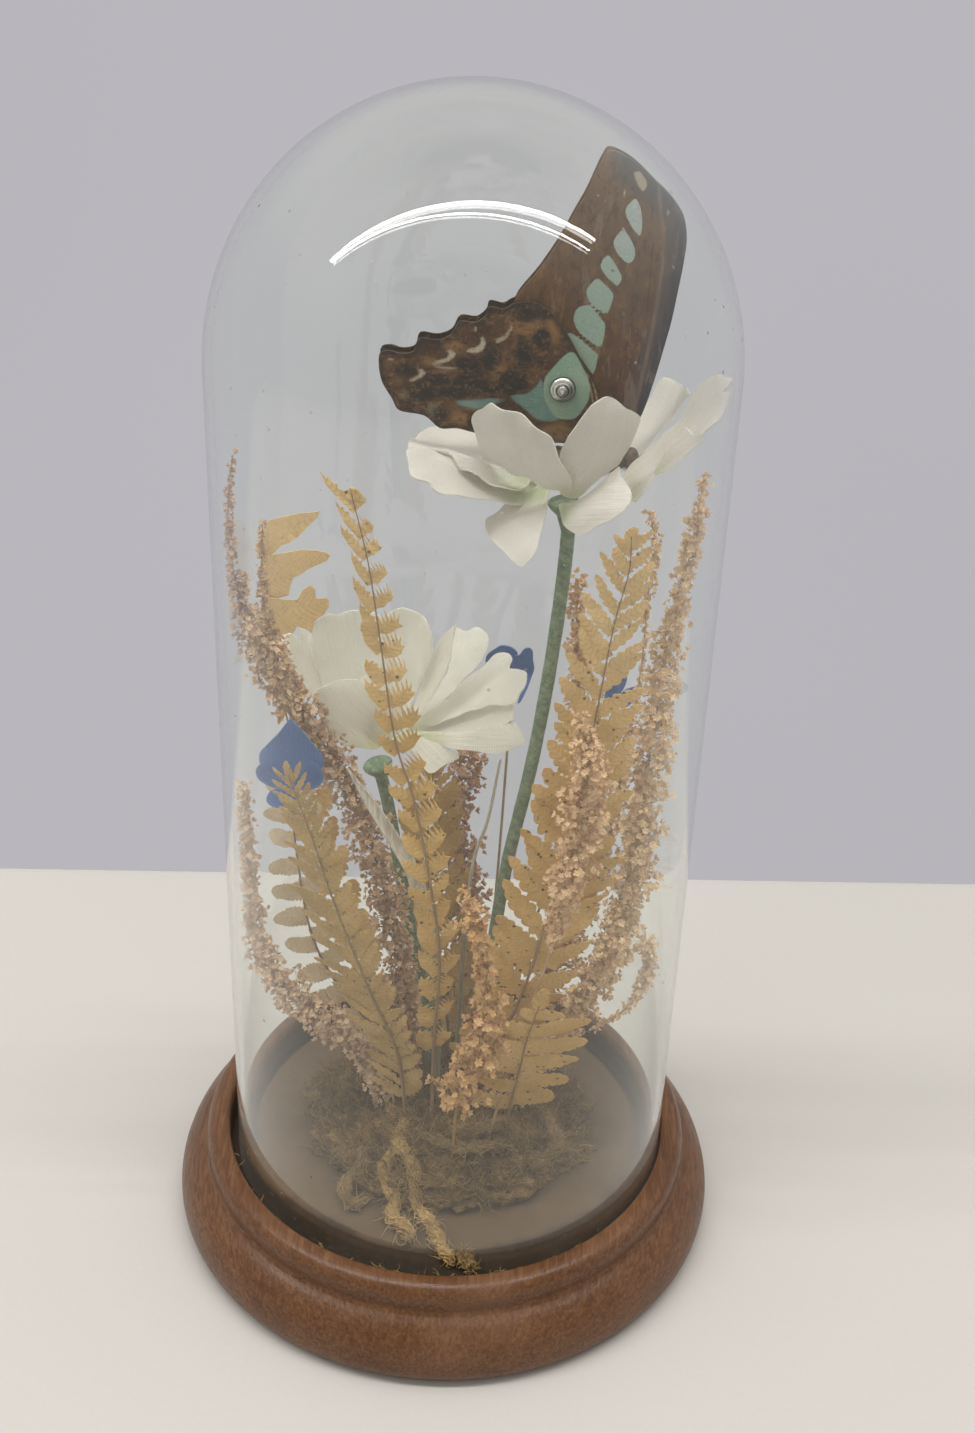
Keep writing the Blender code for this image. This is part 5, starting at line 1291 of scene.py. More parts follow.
# bare is the share of the stem below the leaflets, slant how far they lean towards the tip, from foot to tip;
# right and left are the lengths of the leaflets on either side, as (share of the leafy part, length)
ferns = {
    "front": {"path": [(-2.7, -8, 40), (-1.9, -9.4, 64), (-3.9, -11.4, 82.4), (-6.7, -13, 100),
         (-10.1, -14, 113), (-12.6, -15, 132.2), (-14.5, -16, 146.7), (-17.2, -16, 158.7)],
        "foot": (-2.6, -7.2), "facing": frontWay, "pairs": 23, "bare": 0.14,
        "slant": (1.5, 1.2, 0.5, 0.25, 0.3, 0.5), "slantLeft": (1.4, 1.2, 1.3, 1.5, 1.8, 2.1),
        "right": [(0, 4), (0.15, 5.4), (0.28, 4.6), (0.38, 4.8), (0.45, 5), (0.52, 3.8), (0.6, 4.9),
         (0.72, 3.9), (0.82, 3.2), (0.9, 2.6), (1, 1.8)],
        "left": [(0, 5), (0.15, 7.4), (0.3, 6.6), (0.45, 5.4), (0.75, 6.2), (0.9, 7.2), (1, 7.6)],
        "shapes": (("fan", "comb"), ("strip",)), "look": "golden", "wide": 0.98},
    "right": {"path": [(8.8, -7.2, 38), (14.7, -9.6, 61.6), (19.8, -11.6, 90.1), (22.8, -13, 117.7),
         (24.6, -14, 136), (26.2, -14.8, 146), (26, -15.8, 152.4)], "foot": (7.6, -4.6), "facing": frontWay,
        "pairs": 26, "bare": 0.1, "slant": (0.7, 1.25),
        "right": [(0, 9), (0.25, 13.6), (0.5, 12), (0.75, 8.6), (0.92, 6.4), (1, 4.4)],
        "left": [(0, 11), (0.25, 14), (0.5, 12), (0.8, 9.4), (0.92, 8), (1, 5)],
        "shapes": (("tongue", "spade"), ("spade", "tongue")), "look": "golden", "wide": 1.22},
    "back": {
        "path": [(-16, 10.4, 42), (-26.4, 12.4, 72), (-32.8, 14, 103), (-35, 14.6, 119), (-35.9, 14.6, 135)],
        "foot": (-8.4, 9), "facing": (0.4, -0.9, 0.1), "pairs": 16, "bare": 0.2, "slant": (0.9, 0.9),
        "right": [(0, 6), (0.4, 8.4), (0.6, 6.4), (1, 0.8)], "left": [(0, 5), (0.4, 3.4), (0.6, 1.6), (1, 0.5)],
        "shapes": (("tongue", "spade"), ("spade", "tongue")), "look": "amber", "wide": 1.2,
        "lobes": [
         [(-36.4, 133.6), (-36.2, 136.1), (-35.5, 138), (-34.3, 139.1), (-31.7, 139.6), (-29.4, 140.2),
          (-26.8, 140.9), (-25.4, 141.3), (-25.8, 140), (-26.8, 138.8), (-28.1, 137.3), (-29.5, 135.7),
          (-31.1, 134.8), (-32.5, 134.3), (-33.5, 133.2), (-34.5, 132.1), (-36.1, 130.8)],
         [(-36.1, 131.2), (-34.2, 132.7), (-31.5, 133), (-29.5, 133.3), (-26.3, 133.6), (-24.3, 133.5),
          (-23.6, 133), (-24.2, 131.9), (-25.7, 130.8), (-27.6, 129.8), (-29, 128.9), (-30.3, 128.3),
          (-30.9, 126.8), (-31.2, 124.9), (-33.1, 124), (-35.5, 123.7), (-36.4, 126.9)],
         [(-36.3, 124.1), (-33.1, 124.2), (-29.7, 124.2), (-28.7, 125.9), (-27.4, 126.7), (-26.5, 126),
          (-26.4, 124.2), (-24.1, 124.3), (-24.1, 122.5), (-25.1, 121), (-26.5, 120.2), (-27.1, 117.9),
          (-28.5, 118.6), (-29.8, 118.9), (-30.5, 117.4), (-32.2, 116.9), (-34.3, 116.5), (-36.2, 117.5),
          (-36.4, 120.4)]]},
    "left": {"path": [(-15, 2.6, 36), (-22.4, 2.6, 48), (-27, 2.6, 60), (-29.4, 2.8, 78.6), (-30.4, 3, 93.8),
         (-29.6, 3.2, 104)], "foot": (-11.6, 2.6), "facing": (0, -1, 0.1), "pairs": 13, "bare": 0.12,
        "slant": (0.05, 0.1), "right": [(0, 9), (0.5, 7.4), (0.8, 5.6), (1, 2)],
        "left": [(0, 6.6), (0.5, 6.2), (0.8, 5.4), (1, 2.6)], "shapes": (("bar",), ("bar",)), "look": "straw",
        "wide": 0.74},
    "brown": {"path": [(-9.4, -9, 40.5), (-14.6, -12.2, 58.7), (-20.2, -15.4, 79.6), (-24, -17, 95.6),
         (-27.4, -17.4, 107.4)], "foot": (-7.6, -7.4), "facing": (-0.2, -0.9, 0.3), "pairs": 29, "bare": 0.08,
        "slant": (0.9, 1.3), "right": [(0, 6), (0.35, 6.8), (0.7, 7.2), (1, 4.4)],
        "left": [(0, 9), (0.35, 10.8), (0.7, 8.8), (1, 4.4)],
        "shapes": (("tongue", "spade"), ("spade", "tongue")), "look": "brown", "wide": 1.12},
    "low_right": {"path": [(12.6, -12, 33), (13.6, -14.4, 42), (14.6, -16, 51), (16.4, -17, 60)],
        "foot": (11.4, -9.6), "facing": frontWay, "pairs": 6, "bare": 0.26, "slant": (0.1, 0.3),
        "right": [(0, 8), (0.3, 11), (0.8, 11.4), (1, 5)], "left": [(0, 8), (0.5, 8.6), (1, 3)],
        "shapes": (("bar",), ("bar",)), "look": "golden", "wide": 0.92},
    "middle": {"path": [(-1.6, 11.6, 41), (-4.6, 12.6, 60), (-5.4, 13.2, 74), (-4.6, 14, 90)],
        "foot": (0.6, 10.6), "facing": frontWay, "pairs": 16, "bare": 0.12, "slant": (0.8, 1.2),
        "right": [(0, 10), (0.4, 13), (0.8, 9.6), (1, 4)], "left": [(0, 10), (0.4, 12), (0.8, 9), (1, 4)],
        "shapes": (("tongue", "spade"), ("spade", "tongue")), "look": "brown", "wide": 1.2},
}


def toothed(teeth, depth, foot, taper):  # an even outline with teeth along both edges
    edge = [(-0.05, foot * 0.44)]
    for i in range(teeth):
        for step, cut in ((0.0, depth), (0.22, depth * 0.25), (0.5, 0.0), (0.8, depth * 0.3)):
            s = max((i + step) / teeth, 0.02)
            edge.append((s, 0.5 * min(foot + (1 - foot) * s / 0.3, 1.0) * (1 - s ** taper) ** 0.6 * (1 - cut)))
    return [(x, -y) for x, y in edge] + [(1.0, 0.0)] + edge[::-1]


# leaflets one unit long and one wide, the foot at the left and the fern's tip upwards
leaflets = {
    "fan": [(-0.04, -0.46), (0.45, -0.44), (0.96, -0.24), (0.92, -0.10), (1.0, 0.42), (0.83, -0.06), (0.84, 0.60),
            (0.68, -0.04), (0.64, 0.70), (0.50, 0.0), (0.45, 0.66), (0.32, 0.02), (0.27, 0.58), (0.17, 0.04),
            (0.10, 0.40), (-0.04, 0.16)],
    "comb": [(-0.04, -0.42), (0.50, -0.50), (1.02, -0.34), (0.88, -0.18), (1.06, 0.16), (0.84, -0.02), (0.92, 0.52),
             (0.72, 0.0), (0.70, 0.48), (0.56, -0.02), (0.52, 0.68), (0.38, 0.02), (0.32, 0.54), (0.20, 0.0),
             (0.14, 0.50), (-0.04, 0.16)],
    "strip": [(-0.04, -0.48), (0.50, -0.50), (0.82, -0.34), (1.05, 0.06), (0.86, 0.06), (0.84, 0.40), (0.72, 0.18),
              (0.64, 0.52), (0.54, 0.26), (0.42, 0.60), (0.34, 0.34), (0.18, 0.62), (-0.04, 0.56)],
    "tongue": toothed(6, 0.30, 0.80, 3.4),
    "spade": toothed(5, 0.42, 0.60, 2.6),
    "bar": toothed(8, 0.16, 0.92, 5.0),
}


def addLeaflet(bm, foot, out, lengthwise, normal, length, wide, cells, draw):
    twist, curl, wave = draw.uniform(-0.3, 0.3), draw.uniform(-0.10, 0.13), draw.uniform(0, 6.28)
    arch, bend, seed = draw.uniform(-0.1, 0.16), draw.uniform(-0.02, 0.16), draw.uniform(0, 50)

    def where(x, y):
        lean = lengthwise * math.cos(twist * x) + normal * math.sin(twist * x)
        rise = curl * length * x * x + arch * wide * abs(y) + 0.13 * math.sin(x * 8 + wave + y * 3)
        ragged = 1 + 0.22 * noise.noise(Vector((x * 4, y * 3, seed)))
        return foot + out * length * x + lean * (wide * y * ragged + bend * length * x * x) + normal * rise

    made = addSheet(bm, cells, where)[0]
    keepOnVerts(made, bm, [(x * length, abs(y) * wide) for x, y in cells[0]])


def keepOnVerts(made, bm, values):  # how far out each place of a leaf is, and how far from its rib
    reach, rib = bm.verts.layers.float["reach"], bm.verts.layers.float["rib"]
    for vert, (out, aside) in zip(made, values):
        vert[reach], vert[rib] = out, aside


def fernBlades(bm, fern, draw, shapes):
    last = fernLeaf["places"] - 1
    path = smoothPath([onMoss(*fern["foot"], above=-1.0)] + fern["path"], last + 1)
    ways = pathFrames(path, fern["facing"])
    first = int(fern["bare"] * last)
    pairs = fern["pairs"]
    for pair in range(pairs):
        share = pair / max(pairs - 1, 1)
        gap = (path[first] - path[-1]).length / pairs * (1.25 - 0.5 * share)  # closer together towards the tip
        for side, label, shape in ((1, "right", fern["shapes"][0]), (-1, "left", fern["shapes"][1])):
            length = float(np.interp(share, *zip(*fern[label])))
            at = (pair + 0.35 + 0.12 * side) / pairs
            at = first + int((last - first) * at * (1.25 - 0.25 * at))
            along, across, normal = ways[min(at, last - 1)]
            slants = fern.get("slantLeft", fern["slant"]) if side < 0 else fern["slant"]
            slant = float(np.interp(share, np.linspace(0, 1, len(slants)), slants)) * draw.uniform(0.85, 1.15)
            out = (across * side + along * slant + normal * draw.uniform(-0.16, 0.16)).normalized()
            lengthwise = (along - out * along.dot(out)).normalized()
            wide = gap * fern["wide"] * (1.0 if share < 0.75 else 1.6 - 0.8 * share) / math.sqrt(1 + slant * slant)
            length *= draw.uniform(0.88, 1.04)
            wide *= draw.uniform(0.88, 1.08)
            addLeaflet(bm, path[at] + across * side * 0.1, out, lengthwise, out.cross(lengthwise) * -side,
                       length, wide, shapes[draw.choice(shape)], draw)
    along, across, normal = ways[-1]
    length = max(fern["right"][-1][1], 2.4)
    addLeaflet(bm, path[-3], along, across, normal, length, gap * 0.8, shapes["tongue"], draw)
    return path


def addLobes(bm, fern):  # broad lobes of the fern at the back, cut to their own outlines
    depth = fern["path"][-1][1]
    for number, outline in enumerate(fern["lobes"]):
        points, faces = flatCells(outline, fernLeaf["lobeCell"])
        tipX, tipZ = outline[7]
        footX, footZ = outline[-1]
        slope = (tipZ - footZ) / (tipX - footX)
        made = addSheet(bm, (points, faces), lambda x, z: Vector(
            (x, depth - 0.25 * number + 0.5 * math.sin(x * 0.5 + z * 0.3 + number), z)))[0]
        keepOnVerts(made, bm, [(x - footX, abs(z - footZ - slope * (x - footX))) for x, z in points])


def paintFern(name, pale, deep, dots=0.8):
    paint = Paint(name + "_fern")
    where = paint.place()
    reach, rib = paint.value("reach"), paint.value("rib")
    blotch = paint.clouds(where, 110.0, 4.0)
    grain = paint.clouds(where, 1500.0, 3.0)
    bend = paint.clouds(where, 500.0, 2.0)
    veins = (rib * 7.0 - reach * 6.0 + bend * 3.0).sine().spread(0.55, 1.0)
    speck = paint.cells(where, 560.0).below(0.13, 0.20) * rib.spread(0.2, 0.9)
    colour = paint.over(
        paint.mix(blotch.spread(0.3, 0.72), deep, pale),
        (paint.axis(where, 2).spread(0.095, 0.145) * 0.45, (0.96, 0.83, 0.58)),
        (grain.spread(0.35, 0.75) * 0.25, shaded(deep, 0.66)),
        (veins * 0.22, shaded(deep, 0.66)),
        (rib.below(0.02, 0.16) * 0.35, shaded(deep, 0.5)),
        (speck * dots, (0.085, 0.048, 0.022)))
    bumps = paint.bump(veins * 0.7 + speck * 0.8 + grain * 0.6, 0.00012, 0.7)
    paint.set(colour=colour, rough=0.72, normal=bumps, specular=0.25)
    return paint.glow(0.42, Color=colour, Normal=bumps)


def paintRib():
    paint = Paint("fern_midrib")
    grain = paint.clouds(paint.scaled(paint.place(), (2200, 2200, 300)), 1.0, 3.0)
    return paint.set(colour=paint.mix(grain, (0.20, 0.125, 0.06), (0.38, 0.25, 0.13)), rough=0.6,
                     normal=paint.bump(grain, 0.0001, 0.5))


def makeFerns():
    looks = {"golden": paintFern("golden", (0.92, 0.695, 0.31), (0.77, 0.53, 0.18)),
             "amber": paintFern("amber", (0.95, 0.75, 0.40), (0.82, 0.60, 0.28), 0.15),
             "straw": paintFern("straw", (0.95, 0.84, 0.62), (0.84, 0.71, 0.49), 0.1),
             "brown": paintFern("brown", (0.84, 0.63, 0.29), (0.64, 0.455, 0.19), 0.4)}
    ribLook = paintRib()
    shapes = {name: flatCells(outline, fernLeaf["cell"]) for name, outline in leaflets.items()}
    for number, (label, fern) in enumerate(ferns.items()):
        draw = random.Random(60 + number)
        bm = bmesh.new()
        bm.verts.layers.float.new("reach")
        bm.verts.layers.float.new("rib")
        path = fernBlades(bm, fern, draw, shapes)
        if "lobes" in fern:
            addLobes(bm, fern)
        bmesh.ops.recalc_face_normals(bm, faces=bm.faces)
        thicken(bm, fernLeaf["thickness"])
        leafy = len(bm.faces)
        front = Vector(fern["facing"]).normalized() * fernLeaf["ribForward"]
        addTubes(bm, [([p + front for p in path[::2] + [path[-1]]], fernLeaf["ribRadii"])], 8)
        otherLook(bm, leafy)
        addPiece(f"pressed_fern_{label}", bm, [looks[fern["look"]], ribLook], [f"fern_{label}"])


makeFerns()
print("ferns done")


# plumes of small dried flowers

# thick is (share of the length, radius); grain is the radius of one small flower
plumes = {
    "left": {"foot": (-7, -1.8), "path": [(-8.6, -1.8, 50), (-13.4, -3, 78), (-18.4, -3.8, 96),
         (-23, -4.6, 105.6), (-29.8, -6.6, 117), (-34, -8, 128), (-37, -8.4, 141), (-37.2, -8.8, 151),
         (-35.8, -10.4, 161)], "thick": [(0, 1.6), (0.14, 3.6), (0.45, 4), (0.62, 3.8), (0.73, 3.2), (0.8, 1.9),
         (0.9, 1.2), (1, 0.5)], "grain": 0.68, "tone": "mauve"},
    "left_branch": {"path": [(-28, -4.6, 114.6), (-31, -3.2, 121.6), (-33.2, -2.6, 132), (-32.8, -3, 146.4)],
        "thick": [(0, 3.2), (0.35, 2.6), (0.5, 1.3), (1, 0.5)], "grain": 0.62, "tone": "mauve"},
    "left_low": {"foot": (-12.4, -2.4), "path": [(-17, -3.4, 36), (-26.6, -5.4, 48), (-33.6, -6.4, 57.6),
         (-36, -6.6, 66), (-36.8, -6.6, 83), (-37, -6.6, 98)],
        "thick": [(0, 2.4), (0.35, 4.2), (0.5, 3.4), (0.7, 2.4), (1, 1.3)], "grain": 0.7, "tone": "rose"},
    "right": {"foot": (12.4, -1), "path": [(19, -1.8, 36), (28.6, -2, 56), (33, -1.6, 79), (33.8, -1.6, 102),
         (35, -2.4, 125), (36, -4.4, 136), (36.8, -6.8, 148), (37, -10, 160.4)],
        "thick": [(0, 2.4), (0.3, 4.4), (0.6, 4.4), (0.74, 3), (0.88, 1.9), (1, 1)], "grain": 0.84,
        "tone": "tan"},
    "right_middle": {"foot": (9.4, 4.4), "path": [(15.2, 5.6, 36), (21.6, 6.8, 56.6), (24, 7, 80),
         (23.6, 6.6, 99.4), (21.8, 5.6, 112), (20, 4.8, 124), (19.6, 4.6, 135)],
        "thick": [(0, 2.6), (0.3, 5.4), (0.62, 5.8), (0.74, 3.8), (0.84, 2.4), (1, 1.4)], "grain": 0.72,
        "tone": "orange", "forkFoot": (8.4, -10.6), "fork": [(12.4, -13.6, 46), (16.8, -15.4, 66),
         (19.6, -16.6, 84), (21.4, -17.6, 98), (22, -18.2, 110), (20.4, -18, 121)],
        "forkThick": [(0, 0), (0.5, 0), (0.56, 2.4), (0.7, 4.2), (0.84, 4.5), (0.94, 3), (1, 1.2)]},
    "right_low": {"foot": (15.4, 6.4), "path": [(21.4, 7.4, 33), (28, 10, 44), (32.6, 11.6, 55),
         (34.4, 12.6, 67), (35, 12.4, 78), (34.6, 12.2, 90)],
        "thick": [(0, 1.8), (0.4, 3.2), (0.8, 2.8), (1, 1.2)], "grain": 0.75, "tone": "tan"},
    "right_branch": {
        "path": [(27, -5.4, 45), (32.6, -6, 50), (36, -6.2, 56), (36.8, -6.2, 63), (35.6, -6.4, 68)],
        "thick": [(0, 0.7), (0.4, 1.1), (0.6, 2), (1, 1.5)], "grain": 0.75, "tone": "tan"},
    "front": {"foot": (1.6, -15),
        "path": [(2.6, -17.4, 38), (6.4, -19, 52), (7, -20.4, 66), (4.4, -22, 80.2), (2.5, -22.4, 89)],
        "thick": [(0, 0), (0.18, 0), (0.21, 4.2), (0.28, 5.6), (0.35, 4.4), (0.42, 4.8), (0.5, 3.8),
         (0.58, 3.4), (0.66, 1.9), (0.78, 2.2), (0.9, 2.3), (1, 1)], "grain": 0.9, "tone": "peach"},
    "back": {"foot": (3.6, 12.6), "path": [(3, 16.8, 46), (1.8, 19.6, 62), (-0.2, 22, 76), (2.2, 24, 88)],
        "thick": [(0, 2), (0.4, 4.2), (0.7, 4), (0.86, 4.8), (1, 2.6)], "grain": 0.95, "tone": "red"},
    "sprig": {"foot": (13, 10.6), "path": [(19.6, 13.6, 42), (28, 15.6, 66), (31, 13.6, 92), (32.4, 11.4, 112),
         (32.4, 9.8, 130), (33, 9.8, 138), (31.4, 9.8, 145.4)],
        "thick": [(0, 0.3), (0.45, 1.9), (0.62, 1.4), (0.75, 0.5), (0.84, 1.1), (1, 1.2)], "grain": 0.75,
        "tone": "tan"},
}
budding = {
    "twig": (0.34, 0.24),       # its radius at the foot, and how much of that is gone at the tip
    "sideTwig": [0.10, 0.05],
    "sideTwigShare": 0.22,      # of the flowers that stand away from the twig
    "leastWide": 0.3,           # where a plume is thinner, it is bare
    "size": (0.5, 1.1),
    "shapes": 12,
    "places": 100,
}
# middle, deep and pale
tones = {
    "mauve": ((0.71, 0.52, 0.34), (0.55, 0.385, 0.24), (0.83, 0.65, 0.46)),
    "rose": ((0.79, 0.60, 0.41), (0.60, 0.44, 0.28), (0.89, 0.72, 0.53)),
    "tan": ((0.86, 0.665, 0.41), (0.66, 0.49, 0.275), (0.95, 0.80, 0.56)),
    "orange": ((0.86, 0.645, 0.40), (0.66, 0.46, 0.255), (0.94, 0.76, 0.53)),
    "peach": ((0.73, 0.475, 0.21), (0.54, 0.325, 0.12), (0.85, 0.61, 0.34)),
    "red": ((0.64, 0.42, 0.27), (0.46, 0.28, 0.17), (0.76, 0.56, 0.40)),
}


def paintPlume(tone):
    middle, deep, pale = tones[tone]
    paint = Paint(tone + "_plume")
    grain = paint.clouds(paint.place(), 1400.0, 3.0)
    # the kept shade mixes random tone with painted light and shade
    colour = paint.ramp(paint.value("shade") * 0.75 + grain * 0.25, [(0.12, deep), (0.5, middle), (0.88, pale)])
    paint.set(colour=colour, rough=0.82, normal=paint.bump(grain, 0.0002, 0.8), specular=0.2)
    return paint.glow(0.35, Color=colour)


def anyWay(draw, x=1, y=1, z=1):
    return Vector((draw.gauss(0, x), draw.gauss(0, y), draw.gauss(0, z)))


def budShape(draw, petals):  # a small dried flower one unit across: a closed star, cupped and crumpled
    points = [Vector((0, 0, draw.uniform(-0.05, 0.2))), Vector((draw.gauss(0, 0.1), draw.gauss(0, 0.1), -0.6))]
    for i in range(petals * 2):
        turn = math.pi * i / petals + draw.gauss(0, 0.12)
        reach = draw.uniform(0.85, 1.15) if i % 2 else draw.uniform(0.6, 0.85)
        rise = (0.55 if i % 2 else 0.2) * draw.uniform(0.4, 1.3)
        points.append(Vector((reach * math.cos(turn), reach * math.sin(turn), rise)))
    rim = range(2, 2 + petals * 2)
    faces = []
    for a, b in zip(rim, [*rim[1:], 2]):
        faces += [(0, a, b), (1, b, a)]
    return points, faces


def addBuds(plume, path, thick, draw, seed, buds, kept, twigs):
    verts, sides, shades = kept
    ways = pathFrames(path, (0.3, -0.9, 0.2))
    length = sum((b - a).length for a, b in zip(path, path[1:]))
    grain = plume["grain"]
    last = len(path) - 1
    thickest, thinning = budding["twig"]
    twigs.append((path, [thickest - thinning * i / last for i in range(last + 1)]))
    at = 0.0
    while at < length:
        share = at / length
        index = min(int(share * last), last - 1)
        along, across, normal = ways[index]
        middle = path[index].lerp(path[index + 1], share * last - index)
        wide = float(np.interp(share, *zip(*thick)))
        at += grain * grain / (3.1 * wide + 0.4)  # a thick place holds more flowers
        if wide < budding["leastWide"]:
            continue
        turn = draw.uniform(0, 2 * math.pi)
        lump = noise.noise(Vector((at * 0.28, math.cos(turn) * 1.2, math.sin(turn) * 1.2 + seed * 3.1)))
        reach = wide * max(0.75 + 0.85 * lump, 0.25) * draw.random() ** 0.4 * 1.1
        out = across * math.cos(turn) + normal * math.sin(turn)
        place = middle + out * reach + along * (reach * 0.7 + draw.gauss(0, 0.4))
        if math.hypot(place.x - dome["shift"], place.y) > dome["roomInside"] - grain:
            continue
        if reach > grain and draw.random() < budding["sideTwigShare"]:
            twigs.append(([middle, place], budding["sideTwig"]))
        way = (out + along * 0.8 + anyWay(draw) * 0.7).normalized()
        spin = way.to_track_quat("Z", "Y").to_matrix() @ Matrix.Rotation(draw.uniform(0, 6.28), 3, "Z")
        size = grain * draw.uniform(*budding["size"]) * (0.75 if wide < grain * 1.6 else 1.0)
        first = len(verts)
        points, faces = draw.choice(buds)
        verts += [(place + spin @ p * size) * mm for p in points]
        sides += [[first + i for i in face] for face in faces]
        # a random tone, plus painted shade that darkens the florets lying near the twig, deep inside the plume
        shade = 0.25 + 0.5 * draw.random() + 0.25 * min(reach / wide, 1.0)
        shades += [shade - 0.22, shade - 0.3]  # painted shade in the middle and underneath; round the rim the petal tips get painted light, the notches between them painted shade
        shades += [shade + 0.12 * (1 if i % 2 else -1) for i in range(len(points) - 2)]


def makePlume(label, plume, seed, look, buds):
    draw = random.Random(seed)
    stems = [(([onMoss(*plume["foot"], above=-1.0)] if "foot" in plume else []) + plume["path"], plume["thick"])]
    if "fork" in plume:
        stems.append(([onMoss(*plume["forkFoot"], above=-1.0)] + plume["fork"], plume["forkThick"]))
    kept, twigs = ([], [], []), []
    for points, thick in stems:
        addBuds(plume, smoothPath(points, budding["places"]), thick, draw, seed, buds, kept, twigs)
    verts, sides, shades = kept
    flowerlets = bpy.data.meshes.new("flowerlets")
    flowerlets.from_pydata(verts, [], sides)
    keepValues(flowerlets, "shade", shades)
    bm = bmesh.new()
    bm.from_mesh(flowerlets)
    bpy.data.meshes.remove(flowerlets)
    addTubes(bm, twigs, 4)
    name = "sprig_right" if label == "sprig" else f"plume_{label}"
    addPiece(f"dried_{name}", bm, look, [name], False)


def makePlumes():
    looks = {tone: paintPlume(tone) for tone in tones}
    draw = random.Random(7)
    buds = [budShape(draw, 5 + number % 2) for number in range(budding["shapes"])]
    for number, (label, plume) in enumerate(plumes.items()):
        makePlume(label, plume, 90 + number, looks[plume["tone"]], buds)


makePlumes()
print("plumes done")


# moss: the heap, its fibres, the golden strand and the bits along the groove

moss = {
    "middle": (0, 1),
    "half": (28, 23, 10),
    "fibres": 7300,
    "goldenShare": 0.12,
    # the twisted strand, in its forks, then the curls that stand out of the heap
    "strand": [
        [(-13.7, 5.4, 22.4), (-12.6, -1.8, 22.7), (-9.9, -6.5, 22.7), (-7.8, -8.8, 22.5), (-9.1, -11.8, 21.6),
         (-7.5, -14.7, 20.7), (-5.5, -17.7, 19.5), (-5.5, -20, 17.6)],
        [(-9.1, -12.8, 20.8), (-11.3, -16.9, 18.8), (-10.5, -19.5, 16.8), (-8.7, -21.4, 14.9),
         (-9.2, -25.1, 14.4), (-6.6, -27.4, 14.4), (-5.3, -29.9, 14.4)],
        [(-5.6, -18.2, 18.8), (-5, -21.4, 16.4), (-4.1, -23.6, 14.6), (-1.7, -27.1, 14.4), (0.7, -31.6, 14.4),
         (2.6, -35, 14.3)]],
    "strandThick": (1.35, 1.25, 1.2),
    "curls": [
        [(-21.1, -8.3, 19.1), (-19.9, -12.1, 18.2), (-17.7, -14.2, 18.1), (-15.6, -12.6, 19.7),
         (-15.6, -16.1, 17.8), (-18, -16.8, 15.6), (-18.8, -19.9, 14.4), (-15.8, -22.7, 14.4),
         (-13.3, -19.9, 14.2)],
        [(11.5, -9.3, 21.8), (12.5, -12.7, 20.6), (15.1, -14.2, 19.1), (18.5, -12.7, 18.6), (20.8, -9, 19),
         (19.7, -12.7, 17.9), (18.6, -15, 17)],
        [(17.3, -0.6, 21.7), (19.7, -3.6, 20.7), (21.7, -6.8, 19.2), (21.4, -9.9, 18.3), (19.1, -13.9, 17.5)],
        [(0, -6.6, 23.3), (1.8, -9.9, 22.7), (5.3, -11.5, 22.1), (3, -10.5, 22.5)],
        [(-14.7, -9.2, 21.1), (-11.4, -8.4, 22.1), (-8, -7.3, 22.8), (-6.3, -7.4, 22.9)],
        [(3.4, -31.6, 14.3), (4.8, -34, 14.3), (6.2, -36, 14.2)],
        [(-4.6, -11.4, 22.6), (-0.4, -14, 23.2), (3.4, -15.6, 23.2), (7.6, -14.6, 23), (12.4, -12.6, 22)],
        [(1.6, -13, 24.2), (6.4, -12, 25), (10.6, -10.4, 24.6), (14.2, -11.6, 23)]],
    "bits": 950,
    "bitsRing": (42.5, 42.9),
    "bitsHeight": (0.3, 6.6),
    "grooveWall": 42.9,
    "grooveTop": 18.2,
    "glassWall": 42.1,          # from the middle of the dome
    "insideDome": 39.3,
    "strandInside": 39.8,
    "curlThick": 1.3,
    # how many fibres, their radius, how loose they are, and how far they twist at each step
    "curlWisps": (80, 0.11, 0.34, (-0.35, 0.35)),
    "strandWisps": (170, 0.15, 0.24, (0.10, 0.55)),
    "straySize": 1.04,          # stray fibres start a little beyond the heap's own size
    "strayLength": (1.4, 5.8),
    "strayRadius": (0.07, 0.15),
    "bitLength": (0.8, 2.4),
    "bitRadius": (0.08, 0.17),
}


def paintMoss(name, deep, pale):
    paint = Paint(name)
    where = paint.place()
    tuft = paint.clouds(where, 260.0, 5.0, 0.7)
    fine = paint.clouds(where, 1800.0, 3.0)
    colour = paint.over(paint.mix(tuft.spread(0.3, 0.7), deep, pale),
                        (fine.spread(0.4, 0.7) * 0.45, shaded(deep, 0.45)))
    return paint.set(colour=colour, rough=0.95, normal=paint.bump(fine + tuft, 0.0003, 0.8), specular=0.15)


def strandOf(draw, start, way, length, bend, knots, radius):  # one curling fibre, thinner towards its end
    points = [Vector(start)]
    way = Vector(way).normalized()
    axis = anyWay(draw).normalized()
    turn = Matrix.Rotation(draw.uniform(-bend, bend), 3, axis)
    for _ in range(knots - 1):
        points.append(points[-1] + way * length / (knots - 1))
        way = turn @ way
    return points, [radius * (1 - 0.75 * i / (knots - 1)) for i in range(knots)]


